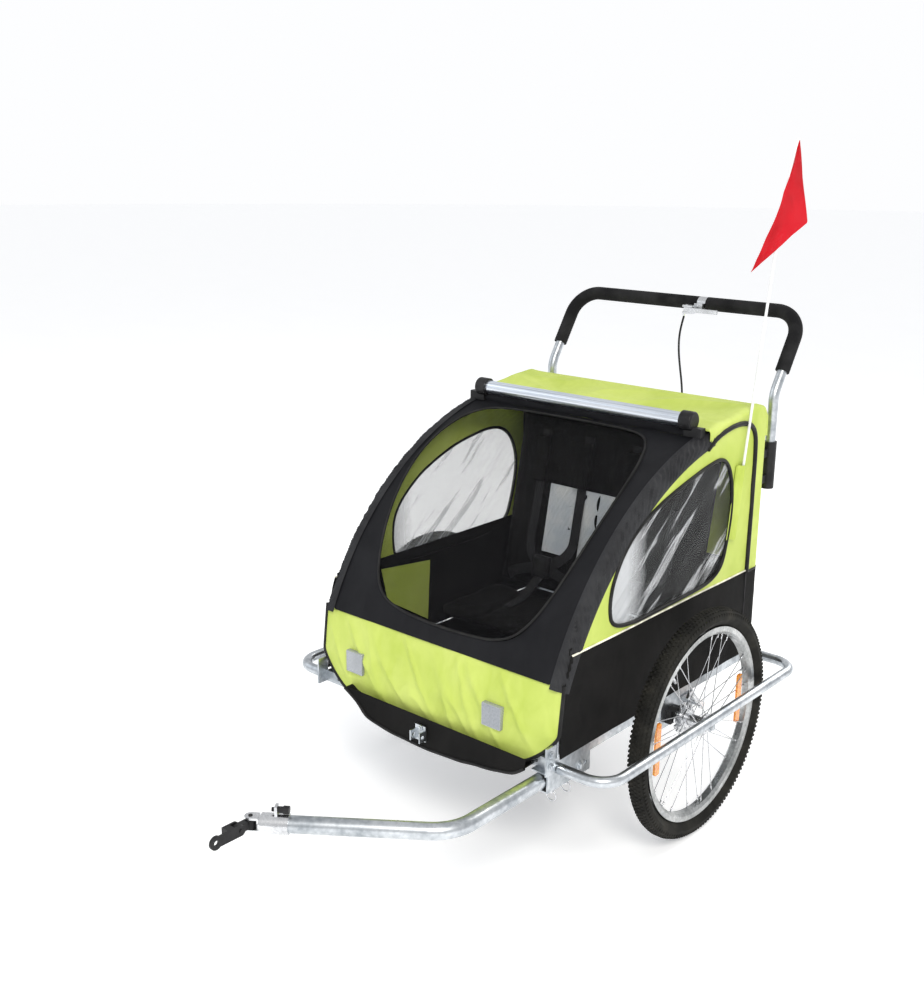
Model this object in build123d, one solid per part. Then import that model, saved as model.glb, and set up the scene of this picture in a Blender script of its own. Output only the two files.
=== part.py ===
from build123d import *
from math import acos, atan2, cos, degrees, hypot, pi, radians, sin, sqrt, tan
import os

# Two-seat child bicycle trailer. Millimetres, +Z up, the front faces -Y and the
# trailer's own left side is +X. It is built round the wheel axle line, and moved at the
# end so that the origin lies on the ground under the middle of the whole trailer.

os.makedirs("parts", exist_ok=True)

# ---- driving dimensions -------------------------------------------------------------
wheel_radius = 250.0        # 20 inch wheel with its tyre
tyre_section = 44.0
cabin_half_width = 322.5    # outer face of the side cloth
wheel_x = cabin_half_width + 64.5       # middle plane of each wheel
cabin_rear = 335.0          # rear cloth, behind the axle
cloth = 3.0                 # thickness that stands for a stretched fabric wall

rail_size = 25.0
rail_x = cabin_half_width - 23.0        # middle of each square side rail
rail_wall = 1.5
rail_bottom = 272.0
rail_front = -408.0
rail_rear = 368.0
cross_od = 20.0             # cross tubes between the rails
cross_wall = 1.5
frame_od = 16.0             # side arcs, rear posts and rear top tube
frame_wall = 1.2

cover_centre = (223.0, 176.0)   # side-view centre of the round front of the cabin (Y, Z)
cover_radius = 681.0
cover_top_y = 58.0          # upper end of the front cover, under the front bar
front_top_z = 452.0         # where the curved cover meets the flat front panel
front_foot = (-420.0, 273.0)    # lower edge of the front panel (Y, Z)
front_foot_half = cabin_half_width - 81.5
front_corner_z = 350.0

bar_y = 72.5
bar_z = 869.5
bar_radius = 15.5
bar_half = cabin_half_width - 60.5
cap_radius = 20.5
cap_length = 28.0

guard_od = 22.0             # wheel guard hoops
guard_wall = 1.5
guard_x = wheel_x + tyre_section / 2 + 17.6
guard_z = 276.0
guard_front = -395.0
guard_rear = 355.0

handle_od = 22.0
handle_wall = 1.5
handle_x = cabin_half_width - 14.5
handle_y = 377.0            # the upright legs
handle_foot_z = 682.0
handle_bend_z = 885.0
handle_top = (487.0, 1055.0)    # middle of the cross bar (Y, Z)
grip_od = handle_od + 10.0
grip_start_z = 933.0
sleeve_bottom = 671.5
sleeve_top = 779.0
sleeve_od = handle_od + 8.0
sliding_gap = 0.35          # round a tube or pin that slides by hand

drawbar_od = 32.0
drawbar_wall = 2.0
drawbar_x = rail_x - 7.5
channel_wall = 3.0
channel_half = drawbar_od / 2 + 1.0 + channel_wall      # the square channel under the rail
drawbar_z = rail_bottom - channel_half
drawbar_back = -292.0
drawbar_bend = -668.0
drawbar_end = (30.0, -863.0)    # front end of the tube (X, Y)
drawbar_bend_radius = 90.0

yaw_reach = 36.0            # from the drawbar's end to the hitch's yaw pin
pitch_reach = 30.0          # from the yaw pin to the pitch pin
arm_length = 54.0           # from the pitch pin to the bicycle's axle
arm_eye_radius = 13.0
arm_hole = 5.1              # for the bicycle's rear axle

axle_radius = 6.0
running_gap = 0.05          # round a shaft that turns in its hole
brake_disc_radius = 34.0
brake_notches = 12
brake_rod_radius = 5.0
brake_rod_place = (75.0, wheel_radius + 2.0)    # (Y, Z)
brake_release = 10.0        # degrees that the rod turns back to free the wheels
lever_pull = 15.0           # degrees that the lever is pulled to lock them

flag_pole_radius = 3.0
flag_foot = (cabin_half_width + 6.3, 196.0, 600.0)
flag_lean = 9.1             # degrees backwards
hoist_foot_z = 1215.0       # lower edge of the pennant on the pole
pole_top_z = 1430.0

cable_radius = 2.5
wire_radius = 0.8

drawbar_slant = atan2(drawbar_end[1] - drawbar_bend, drawbar_end[0] - drawbar_x)
yaw_place = drawbar_end[1] + yaw_reach * sin(drawbar_slant)
front_reach = pitch_reach + arm_length + arm_eye_radius - yaw_place
rear_reach = handle_top[0] + grip_od / 2
axle_y = (front_reach - rear_reach) / 2     # axle line in the part's own frame


def save(name, *solids):
    """Moves the solids into the part's frame and writes them as one node."""
    whole = [solid for shape in solids for solid in (Pos(0, axle_y, 0) * shape).solids()]
    export_step(Compound(children=whole), f"parts/{name}.step")


def block(x, y, z):
    """A box from its lowest to its highest coordinate along each axis."""
    middle = [(pair[0] + pair[1]) / 2 for pair in (x, y, z)]
    size = [abs(pair[1] - pair[0]) for pair in (x, y, z)]
    return Pos(*middle) * Box(*size)


def rod(start, end, radius):
    """A round bar between two points."""
    start, end = Vector(*start), Vector(*end)
    along = end - start
    middle = Plane(origin=start, z_dir=along)
    return extrude(middle * Circle(radius), along.length)


def pipe(path, od, wall):
    """A hollow round tube along a path."""
    face = Circle(od / 2) - Circle(od / 2 - wall)
    return sweep(Plane(origin=path @ 0, z_dir=path % 0) * face, path=path)


def both_sides(shape):
    return shape, mirror(shape, Plane.YZ)


def side_face(*edges):
    """A face in the Y-Z plane, drawn with Y as its first coordinate and Z as its second."""
    return Plane.YZ * make_face(list(edges))


def on_arc(radius, y):
    """The height of a circle about the cabin's round front, at a given Y."""
    return cover_centre[1] + sqrt(radius**2 - (y - cover_centre[0]) ** 2)


def arc_y(radius, z):
    return cover_centre[0] - sqrt(radius**2 - (z - cover_centre[1]) ** 2)


# ---- base frame ---------------------------------------------------------------------
rail_z = rail_bottom + rail_size / 2
rail_top = rail_bottom + rail_size
rail_outer = rail_x + rail_size / 2
rail_inner = rail_x - rail_size / 2

bore = rail_size - 2 * rail_wall
left_rail = block((rail_inner, rail_outer), (rail_front, rail_rear), (rail_bottom, rail_top))
left_rail -= Pos(rail_x, 0, rail_z) * Box(bore, 2 * (rail_rear - rail_front), bore)
left, right = both_sides(left_rail)
save("left_rail", left)
save("right_rail", right)

cross_path = Line((-rail_inner, 0, rail_z), (rail_inner, 0, rail_z))
cross_tube = pipe(cross_path, cross_od, cross_wall)
front_cross_y = rail_front + 23.0
middle_cross_y = -60.0
save("cross_tubes", *[Pos(0, y, 0) * cross_tube for y in (front_cross_y, middle_cross_y, guard_rear)])

# ---- upright frame: two side arcs, two rear posts, a top tube -----------------------
frame_x = cabin_half_width - 17.5
post_y = cabin_rear - cloth - 2.0 - frame_od / 2
post_top = 835.0
arc_radius = cover_radius - cloth - 1.0 - frame_od / 2
arc_foot_y = arc_y(arc_radius, front_top_z)
arc_head = (bar_y, on_arc(arc_radius, bar_y))
arc_first = atan2(front_top_z - cover_centre[1], cover_centre[0] - arc_foot_y)
arc_last = atan2(arc_head[1] - cover_centre[1], cover_centre[0] - arc_head[0])
arc_steps = 4
arc_step = (arc_last - arc_first) / arc_steps
tangent_radius = arc_radius / cos(arc_step / 2)
arc_corners = []
for number in range(arc_steps):
    angle = arc_first + (number + 0.5) * arc_step
    y = cover_centre[0] - tangent_radius * cos(angle)
    arc_corners.append((frame_x, y, cover_centre[1] + tangent_radius * sin(angle)))
arc_path = FilletPolyline(
    (frame_x, arc_foot_y, rail_top),
    (frame_x, arc_foot_y, front_top_z),
    *arc_corners,
    (frame_x, *arc_head),
    (frame_x, post_y - frame_od / 2 - 0.5, post_top),
    radius=[60] + arc_steps * [520] + [150],
)
left_arc = pipe(arc_path, frame_od, frame_wall)
save("side_arcs", *both_sides(left_arc))

post = pipe(Line((frame_x, post_y, rail_top), (frame_x, post_y, post_top)), frame_od, frame_wall)
top_z = post_top + frame_od / 2
top_path = Line((-frame_x, post_y, top_z), (frame_x, post_y, top_z))
save("rear_frame", *both_sides(post), pipe(top_path, frame_od, frame_wall))

# ---- front bar: a grooved aluminium section in two plastic end caps -------------------
groove = Circle(1.2)
bar_face = Circle(bar_radius) - Circle(bar_radius - 2.5)
for turn in range(0, 180, 20):
    bar_face -= Rot(0, 0, turn) * Pos(bar_radius + 0.3, 0) * groove
bar_plane = Plane(origin=(-bar_half, bar_y, bar_z), x_dir=(0, 1, 0), z_dir=(1, 0, 0))
save("front_bar", extrude(bar_plane * bar_face, 2 * bar_half))

cap = rod((bar_half, bar_y, bar_z), (bar_half + cap_length, bar_y, bar_z), cap_radius)
cap = fillet(cap.edges().group_by(Axis.X)[-1], 4)
foot_low = arc_head[1] + frame_od / 2 + 2.0
cap += block((bar_half + 8, frame_x + 6), (bar_y - 9, bar_y + 9), (foot_low, bar_z - 12))
save("front_bar_caps", *both_sides(cap))

# ---- wheel guards -------------------------------------------------------------------
guard_path = FilletPolyline(
    (rail_outer, guard_front, guard_z),
    (guard_x, guard_front, guard_z),
    (guard_x, guard_rear, guard_z),
    (rail_outer, guard_rear, guard_z),
    radius=50,
)
left, right = both_sides(pipe(guard_path, guard_od, guard_wall))
save("left_wheel_guard", left)
save("right_wheel_guard", right)

# ---- corner brackets and the bracket for a nose wheel ---------------------------------
plate = 4.0
tab_front = rail_front - 27.0
corner_y = (rail_front - plate, rail_front)
corner = block((rail_inner - 25, rail_outer + plate), corner_y, (rail_bottom, rail_top))
corner += block((rail_outer, rail_outer + plate), (tab_front, rail_front), (rail_bottom, 330))
corner -= rod((rail_inner - 12, rail_front - 9, rail_z), (rail_inner - 12, rail_front + 9, rail_z), 3.2)
save("corner_brackets", *both_sides(corner))

belly_front = -440.0
nose_half = 14.0
nose_ear = 3.0
nose_pin = (belly_front - 12.0, 258.0)
nose_hole = 4.1
nose = block((-nose_half, nose_half), (belly_front - 3, belly_front), (244, 278))
for ear_x in (-nose_half, nose_half - nose_ear):
    nose += block((ear_x, ear_x + nose_ear), (belly_front - 20, belly_front - 3), (247, 269))
nose -= rod((-30, *nose_pin), (30, *nose_pin), nose_hole)
save("nose_wheel_bracket", nose)

# ---- axle brackets, housings and axles ------------------------------------------------
housing_end = wheel_x - 42.5
bracket_low = wheel_radius - 28.0
bracket_rear = brake_rod_place[0] + 17.0
brake_bore = brake_rod_radius + running_gap
bracket = block((rail_inner, rail_outer + plate), (-38, bracket_rear), (bracket_low, rail_bottom))
bracket += block((rail_outer, rail_outer + plate), (-38, 38), (rail_bottom, rail_top - 2))
bracket -= block((rail_inner + plate, rail_outer), (-60, 120), (bracket_low - 9, rail_bottom - plate))
bracket -= rod((rail_inner - 9, 0, wheel_radius), (housing_end, 0, wheel_radius), axle_radius)
bracket -= rod((rail_inner - 9, *brake_rod_place), (housing_end, *brake_rod_place), brake_bore)
save("axle_brackets", *both_sides(bracket))

housing = rod((rail_outer + plate, 0, wheel_radius), (housing_end, 0, wheel_radius), 16)
housing = fillet(housing.edges().group_by(Axis.X)[-1], 2)
housing_nut_x = (rail_outer + plate, housing_end - 14)
housing += block(housing_nut_x, (-21, 21), (wheel_radius - 16, wheel_radius + 12))
housing -= rod((rail_inner, 0, wheel_radius), (wheel_x, 0, wheel_radius), axle_radius)
save("axle_housings", *both_sides(housing))

hub_outer = wheel_x + 24.0
axle = rod((rail_inner - 8, 0, wheel_radius), (hub_outer + 0.6, 0, wheel_radius), axle_radius)
axle += rod((hub_outer + 0.6, 0, wheel_radius), (hub_outer + 4, 0, wheel_radius), 8.5)
save("axles", *both_sides(axle))

# ---- wheels ---------------------------------------------------------------------------
rim_radius = wheel_radius - tyre_section + 5.0
rim_width = 24.0
spoke_count = 28
spoke_radius = 0.9
spoke_sweep = 32.0          # degrees between a spoke's hub end and its rim end
flange_radius = 24.0
hole_circle = 20.0
disc_inner = wheel_x - 42.0
hub_inner = disc_inner + 4.0
dog_angle = degrees(
    atan2(brake_rod_place[1] - wheel_radius, brake_rod_place[0])
    + acos(30.0 / hypot(brake_rod_place[0], brake_rod_place[1] - wheel_radius))
)


def wheel_point(radius, angle, x):
    """A point on the left wheel, from its radius and its angle from +Y towards +Z."""
    return (x, radius * cos(radians(angle)), wheel_radius + radius * sin(radians(angle)))


def turned(x_and_radius):
    """A ring: a closed outline of (x, radius) points turned about the wheel's axis."""
    outline = Polyline(*[(x, 0, wheel_radius + radius) for x, radius in x_and_radius], close=True)
    return revolve(make_face(outline), Axis((0, 0, wheel_radius), (1, 0, 0)))


tyre_centre = wheel_radius - tyre_section / 2
tyre_ring = Plane.XZ * Pos(wheel_x, wheel_radius + tyre_centre) * Circle(tyre_section / 2)
tyre = revolve(tyre_ring, Axis((0, 0, wheel_radius), (1, 0, 0)))
rim_half = rim_width / 2
rim = turned([
    (wheel_x - rim_half, rim_radius), (wheel_x - rim_half, rim_radius - 11),
    (wheel_x - 7, rim_radius - 17), (wheel_x + 7, rim_radius - 17),
    (wheel_x + rim_half, rim_radius - 11), (wheel_x + rim_half, rim_radius),
    (wheel_x + rim_half - 2, rim_radius), (wheel_x + rim_half - 2, rim_radius - 9),
    (wheel_x + 6, rim_radius - 14), (wheel_x - 6, rim_radius - 14),
    (wheel_x - rim_half + 2, rim_radius - 9), (wheel_x - rim_half + 2, rim_radius),
])
tyre -= turned([
    (wheel_x - rim_half, rim_radius + 1), (wheel_x - rim_half, rim_radius - 30),
    (wheel_x + rim_half, rim_radius - 30), (wheel_x + rim_half, rim_radius + 1),
])
bead = turned([
    (wheel_x - rim_half + 2, rim_radius + 3), (wheel_x - rim_half + 2, rim_radius - 5),
    (wheel_x + rim_half - 2, rim_radius - 5), (wheel_x + rim_half - 2, rim_radius + 3),
])
tyre += bead

bearing_radius = 11.0
bearing_width = 7.0
hub_bore = axle_radius + running_gap
hub = turned([
    (hub_inner, 14), (hub_inner + 9, 14), (hub_inner + 9, flange_radius),
    (hub_inner + 12, flange_radius), (hub_inner + 14, 13), (hub_outer - 14, 13),
    (hub_outer - 12, flange_radius), (hub_outer - 9, flange_radius), (hub_outer - 9, 14),
    (hub_outer, 14), (hub_outer, bearing_radius), (hub_outer - bearing_width, bearing_radius),
    (hub_outer - bearing_width, hub_bore + 1), (hub_inner + bearing_width, hub_bore + 1),
    (hub_inner + bearing_width, bearing_radius), (hub_inner, bearing_radius),
])
bearings = []
for x in (hub_inner, hub_outer - bearing_width):
    far_x = x + bearing_width
    outline = [(x, hub_bore), (x, bearing_radius), (far_x, bearing_radius), (far_x, hub_bore)]
    bearings.append(turned(outline))
flanges = (hub_inner + 10.5, hub_outer - 10.5)
spokes = []
for number in range(spoke_count):
    side = number % 2
    pair = number // 2
    leading = 1 if pair % 2 else -1
    hub_angle = pair * 360 / (spoke_count / 2) + side * 360 / spoke_count
    head_x = flanges[side] + leading * 3.3
    start = wheel_point(hole_circle, hub_angle, head_x)
    end = wheel_point(rim_radius - 17.2, hub_angle + leading * spoke_sweep, wheel_x + (side * 8 - 4))
    spoke = rod(start, end, spoke_radius)
    hub -= rod(start, wheel_point(hole_circle, hub_angle, 2 * flanges[side] - head_x), spoke_radius)
    spokes.append(spoke)

disc_face = Circle(brake_disc_radius) - Circle(9.0)
notch_depth = 8.0
for number in range(brake_notches):
    angle = dog_angle + number * 360 / brake_notches
    disc_face -= Rot(0, 0, angle) * Pos(brake_disc_radius, 0) * Rectangle(2 * notch_depth, 8.6)
disc_plane = Plane(origin=(disc_inner, 0, wheel_radius), x_dir=(0, 1, 0), z_dir=(1, 0, 0))
brake_disc = extrude(disc_plane * disc_face, hub_inner - disc_inner)

# Each reflector bar lies across the wheel's radius, between its two planes of spokes.
reflector_width = 17.0
reflector_half = 57.0
reflector_out = rim_radius - 40.0
reflector_y = (reflector_out - reflector_width, reflector_out)
reflector_z = (wheel_radius - reflector_half, wheel_radius + reflector_half)
reflector = block((wheel_x - 2.5, wheel_x + 2.5), reflector_y, reflector_z)
reflector = fillet(reflector.edges().filter_by(Axis.X), 5)
reflectors = [reflector, reflector.rotate(Axis((0, 0, wheel_radius), (1, 0, 0)), 180)]

wheel_nodes = {
    "tyre": [tyre],
    "rim": [rim],
    "spokes": spokes,
    "hub": [hub, *bearings],
    "reflectors": reflectors,
    "brake_disc": [brake_disc],
}
for name, shapes in wheel_nodes.items():
    save(f"left_{name}", *shapes)
    save(f"right_{name}", *[mirror(shape, Plane.YZ) for shape in shapes])

# ---- parking brake: one cross rod with a dog over each toothed disc --------------------
dog_width = 6.0
pawl_x = (disc_inner - 1.0, hub_inner + 1.0)
dog_plane = Plane(origin=(pawl_x[0], 0, wheel_radius), x_dir=(0, 1, 0), z_dir=(1, 0, 0))
dog = Rot(0, 0, dog_angle) * Pos(36.0, 0) * Rectangle(17.0, dog_width)
arm_start = (43.0 * cos(radians(dog_angle)), 43.0 * sin(radians(dog_angle)))
rod_spot = (brake_rod_place[0], brake_rod_place[1] - wheel_radius)
arm_line = Line(arm_start, rod_spot)
arm_face = trace(arm_line, line_width=9.0)
pawl_face = dog + arm_face + Pos(*rod_spot) * Circle(9.0)
pawl_face -= Pos(*rod_spot) * Circle(brake_rod_radius - 1)
pawl = extrude(dog_plane * pawl_face, pawl_x[1] - pawl_x[0])
pawls = both_sides(pawl)
cross_rod = rod((-pawl_x[1], *brake_rod_place), (pawl_x[1], *brake_rod_place), brake_rod_radius)
actuator_x = 40.0
actuator_foot = brake_rod_place[1] - 34.0
actuator = block((actuator_x - 3, actuator_x + 3), (71, 79), (actuator_foot, brake_rod_place[1]))
brake_rod = cross_rod + pawls[0] + pawls[1]
brake_axis = Axis((0, *brake_rod_place), (1, 0, 0))
brake_rod = brake_rod.rotate(brake_axis, -brake_release) + actuator
save("brake_rod", brake_rod)

# ---- drawbar, its channel and its two ring pins ----------------------------------------
channel_inside = channel_half - channel_wall
channel_y = (-425.0, -288.0)
channel_low = rail_bottom - 2 * channel_half
bolt_y = channel_y[0] + 122.0
bolt_hole = 4.0
channel_x = (drawbar_x - channel_half, drawbar_x + channel_half)
channel = block(channel_x, channel_y, (channel_low, rail_bottom))
channel -= block(
    (channel_x[0] - 9, drawbar_x + channel_inside),
    (channel_y[0] - 9, channel_y[1] + 9),
    (drawbar_z - channel_inside, drawbar_z + channel_inside),
)
channel -= rod((drawbar_x, bolt_y, drawbar_z), (channel_x[1] + 9, bolt_y, drawbar_z), bolt_hole)

pin_radius = 4.0
pin_hole = pin_radius + sliding_gap
pin_places = {"front": -385.0, "rear": -338.0}
end_x, end_y = drawbar_end
drawbar_path = FilletPolyline(
    (drawbar_x, drawbar_back, drawbar_z),
    (drawbar_x, drawbar_bend, drawbar_z),
    (end_x, end_y, drawbar_z),
    radius=drawbar_bend_radius,
)
drawbar = pipe(drawbar_path, drawbar_od, drawbar_wall)

ring_radius = 11.0
ring_wire = 1.2
eye_z = channel_low - 15.0
for place, y in pin_places.items():
    drill = rod((drawbar_x, y, channel_low - 9), (drawbar_x, y, rail_bottom - 1.0), pin_hole)
    drawbar -= drill
    channel -= drill
    pin = rod((drawbar_x, y, eye_z - 5), (drawbar_x, y, rail_bottom - 1.5), pin_radius)
    pin += rod((drawbar_x, y, channel_low - 6.5), (drawbar_x, y, channel_low - 0.5), 7.0)
    pin -= rod((drawbar_x - 9, y, eye_z), (drawbar_x + 9, y, eye_z), 2 * ring_wire)
    save(f"{place}_pin", pin)
    ring = Pos(drawbar_x, y, eye_z - ring_radius + 0.3) * Rot(90, 0, 0) * Torus(ring_radius, ring_wire)
    save(f"{place}_ring", ring)
save("drawbar_channel", channel)
save("drawbar", drawbar)

# ---- hitch: clamp socket, lock knob, then a swivel that rolls, a yoke that yaws and an
# arm that pitches, with the hole for the bicycle's rear axle at its tip -----------------
tube_end = Vector(end_x, end_y, drawbar_z)
along = Vector(cos(drawbar_slant), sin(drawbar_slant), 0)
hitch = Plane(origin=tube_end, x_dir=(-along.Y, along.X, 0), z_dir=along)
# In this plane Z runs on along the tube, Y is up and X is sideways.
socket_radius = drawbar_od / 2 + 3.0
socket_back = -34.0
socket_front = 16.0
swivel_radius = 7.0
knob_height = socket_radius + 9.0
knob_stem = 4.0
lug = (-14.0, -9.0)


def hitch_ring(start, end, outer, inner=0.0, height=0.0):
    """A round piece along the hitch axis, hollow where it has an inner radius."""
    face = Pos(0, height) * Circle(outer)
    if inner:
        face -= Pos(0, height) * Circle(inner)
    return extrude(hitch * Pos(0, 0, start) * face, end - start)


def hitch_block(x, y, z):
    return hitch * block(x, y, z)


socket = hitch_ring(socket_back, 0, socket_radius, drawbar_od / 2)
socket += hitch_ring(0, socket_front, socket_radius, swivel_radius + running_gap)
socket += hitch_block((-8, 8), (drawbar_od / 2 + 0.5, knob_height + 8), lug)
socket -= hitch_ring(lug[0] - 1, lug[1] + 1, knob_stem + running_gap, height=knob_height)
save("hitch_socket", socket)

knob = hitch_ring(lug[0] - 2, lug[1] + 6, knob_stem, height=knob_height)
knob += hitch_ring(lug[0] - 10, lug[0] - 0.4, 6.0, height=knob_height)
knob_cap = hitch_ring(lug[0] - 21, lug[0] - 10, 7.5, height=knob_height)
save("hitch_knob", knob, knob_cap)

ear_inner = 9.8
ear_outer = 14.0
joint_pin = 4.0
joint_bore = joint_pin + running_gap
yaw_axis = tube_end + along * yaw_reach
swivel = hitch_ring(1, socket_front + 2, swivel_radius)
swivel += hitch_ring(socket_front + 0.4, socket_front + 4.5, 14.0)
for low, high in ((-ear_outer, -ear_inner), (ear_inner, ear_outer)):
    swivel += hitch_block((-11, 11), (low, high), (socket_front + 4.5, yaw_reach))
    swivel += rod(yaw_axis + Vector(0, 0, low), yaw_axis + Vector(0, 0, high), 11)
swivel -= rod(yaw_axis - Vector(0, 0, 20), yaw_axis + Vector(0, 0, 20), joint_bore)
save("hitch_swivel", swivel)

cheek_gap = 6.4
cheek = 4.6
yaw_x, yaw_y = yaw_axis.X, yaw_axis.Y
pitch_y = yaw_y - pitch_reach
neck_half = cheek_gap - 0.4
yoke = rod(yaw_axis - Vector(0, 0, 9.4), yaw_axis + Vector(0, 0, 9.4), 10)
yoke += rod(yaw_axis - Vector(0, 0, 15), yaw_axis + Vector(0, 0, 15), joint_pin)
yoke += block((yaw_x - neck_half, yaw_x + neck_half), (pitch_y, yaw_y), (drawbar_z - 8, drawbar_z + 8))
yoke += rod((yaw_x - neck_half, pitch_y, drawbar_z), (yaw_x + neck_half, pitch_y, drawbar_z), 8)
pin_half = cheek_gap + cheek + 2.0
yoke += rod((yaw_x - pin_half, pitch_y, drawbar_z), (yaw_x + pin_half, pitch_y, drawbar_z), joint_pin)
save("hitch_yoke", yoke)

arm_tip_y = pitch_y - arm_length
arm_outer = cheek_gap + cheek
arm_half = 10.0
arm_z = (drawbar_z - arm_half, drawbar_z + arm_half)
fork_foot = pitch_y - 11.0
fork_back = pitch_y - 26.0
blade = 5.0
arm = block((yaw_x - arm_outer, yaw_x + arm_outer), (fork_back, fork_foot), arm_z)
for inner, outer in ((-arm_outer, -cheek_gap), (cheek_gap, arm_outer)):
    start, end = (yaw_x + inner, pitch_y, drawbar_z), (yaw_x + outer, pitch_y, drawbar_z)
    arm += rod(start, end, arm_half)
    arm += block((yaw_x + inner, yaw_x + outer), (fork_foot - 1, pitch_y), arm_z)
blade_x = (yaw_x + arm_outer - blade, yaw_x + arm_outer)
arm += block(blade_x, (arm_tip_y, fork_back + 2), arm_z)
arm += rod((blade_x[0], arm_tip_y, drawbar_z), (blade_x[1], arm_tip_y, drawbar_z), arm_eye_radius)
arm -= rod((yaw_x - 40, pitch_y, drawbar_z), (yaw_x + 40, pitch_y, drawbar_z), joint_bore)
arm -= rod((yaw_x - 40, arm_tip_y, drawbar_z), (yaw_x + 40, arm_tip_y, drawbar_z), arm_hole)
save("hitch_arm", arm)

# ---- push handle, its foam grip and the sleeves that it slides in -----------------------
top_y, top_z_handle = handle_top
handle_points = [
    (-handle_x, handle_y, handle_foot_z),
    (-handle_x, handle_y, handle_bend_z),
    (-handle_x, top_y, top_z_handle),
    (handle_x, top_y, top_z_handle),
    (handle_x, handle_y, handle_bend_z),
    (handle_x, handle_y, handle_foot_z),
]
corner_radius = 62.0
handle_path = FilletPolyline(*handle_points, radius=corner_radius)
save("handle_tube", pipe(handle_path, handle_od, handle_wall))

grip_share = (grip_start_z - handle_bend_z) / (top_z_handle - handle_bend_z)
grip_start_y = handle_y + grip_share * (top_y - handle_y)
clamp_x = (44.0, 66.0)      # bare stretch of the bar under the brake lever's clamp
grip_wall = (grip_od - handle_od) / 2
grip_parts = []
for side, inner_x in ((1, clamp_x[1] + 1), (-1, clamp_x[0] - 1)):
    grip_path = FilletPolyline(
        (side * handle_x, grip_start_y, grip_start_z),
        (side * handle_x, top_y, top_z_handle),
        (inner_x, top_y, top_z_handle),
        radius=corner_radius,
    )
    grip_parts.append(pipe(grip_path, grip_od, grip_wall))
save("handle_grip", *grip_parts)

sleeve_bore = handle_od / 2 + sliding_gap
sleeve = rod((handle_x, handle_y, sleeve_bottom), (handle_x, handle_y, sleeve_top), sleeve_od / 2)
sleeve -= rod((handle_x, handle_y, sleeve_bottom - 1), (handle_x, handle_y, sleeve_top + 1), sleeve_bore)

bracket_half = 9.0
bracket_x = (frame_x - 7, frame_x + 7)
brackets_both = []
for level in (sleeve_bottom + 24, sleeve_top - 24):
    low, high = level - bracket_half, level + bracket_half
    bracket_arm = block(bracket_x, (post_y, handle_y), (low, high))
    bracket_arm -= rod((handle_x, handle_y, low - 9), (handle_x, handle_y, high + 9), sleeve_od / 2)
    bracket_arm -= rod((frame_x, post_y, low - 9), (frame_x, post_y, high + 9), frame_od / 2)
    brackets_both += both_sides(bracket_arm)
save("handle_sleeves", *both_sides(sleeve), *brackets_both)

# ---- brake lever -------------------------------------------------------------------------
pivot = (30.0, top_y - 38.0)
lever_z = (1038.0, 1048.0)
lever_pin = 3.0
lever_gap = 0.4             # between the lever and the two ears that hold it
ear = 4.6
clamp_wall = 5.0
clamp_ends = [(x, top_y, top_z_handle) for x in clamp_x]
clamp = rod(*clamp_ends, handle_od / 2 + clamp_wall)
clamp += block(clamp_x, (pivot[1] + 10, top_y - 9), (lever_z[0] - 3, lever_z[1] + 9))
clamp -= rod(*clamp_ends, handle_od / 2)
ear_x = (pivot[0] - 8, clamp_x[0] + 4)
ear_low = lever_z[0] - lever_gap - ear
ear_high = lever_z[1] + lever_gap + ear
for low, high in ((ear_low, ear_low + ear), (ear_high - ear, ear_high)):
    clamp += block(ear_x, (pivot[1] - 6, pivot[1] + 14), (low, high))
clamp += rod((*pivot, ear_low - 1), (*pivot, ear_high + 1), lever_pin)
# The cable's barrel leans down, towards the way that the cable leaves.
barrel_lean = radians(75)
barrel_length = 18.0
barrel_foot = Vector(pivot[0] - 8, pivot[1] + 12, sum(lever_z) / 2)
barrel_way = Vector(-cos(barrel_lean), 0, -sin(barrel_lean))
barrel_mouth = barrel_foot + barrel_way * barrel_length
clamp += rod(barrel_foot - barrel_way * 3, barrel_mouth, 4.2)
clamp += block((ear_x[0] - 1, pivot[0]), (barrel_foot.Y - 4, barrel_foot.Y + 4), (ear_low, ear_high))
save("lever_clamp", clamp)

lever_tip = (112.0, top_y - 46.0)
lever_face = trace(Polyline(pivot, (pivot[0] + 30, pivot[1] - 9), lever_tip), line_width=9.0)
lever_face += Pos(*pivot) * Circle(7.0) + Pos(*lever_tip) * Circle(5.5)
lever_face -= Pos(*pivot) * Circle(lever_pin + running_gap)
brake_lever = extrude(Pos(0, 0, lever_z[0]) * lever_face, lever_z[1] - lever_z[0])
save("brake_lever", brake_lever)

# ---- brake cable: held by the lever, the back and the rod, made whole -------------------
cable_points = [
    tuple(barrel_mouth), tuple(barrel_mouth + barrel_way * 26), (9, 457, 971), (15, 449, 940),
    (27, 439, 905), (42, 427, 868), (54, 414, 825), (59, 402, 778), (57, 391, 726), (51, 380, 664),
    (45, 371, 596), (43, 367, 524), (42, 366, 456), (40, 369, 390), (40, 376, 328),
    (41, 379, 276), (42, 358, 240), (42, 306, 226), (41, 242, 221), (40, 178, 219),
    (actuator_x, 122, actuator_foot + 4),
]


def cable_radii(points):
    """The largest smooth bend at each inner point: 0.45 of its shorter run over tan of half the turn."""
    bends = []
    for before, here, after in zip(points, points[1:], points[2:]):
        run_in, run_out = Vector(*here) - Vector(*before), Vector(*after) - Vector(*here)
        half_turn = radians(run_in.get_angle(run_out)) / 2
        bends.append(0.45 * min(run_in.length, run_out.length) / tan(half_turn))
    return bends


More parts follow.
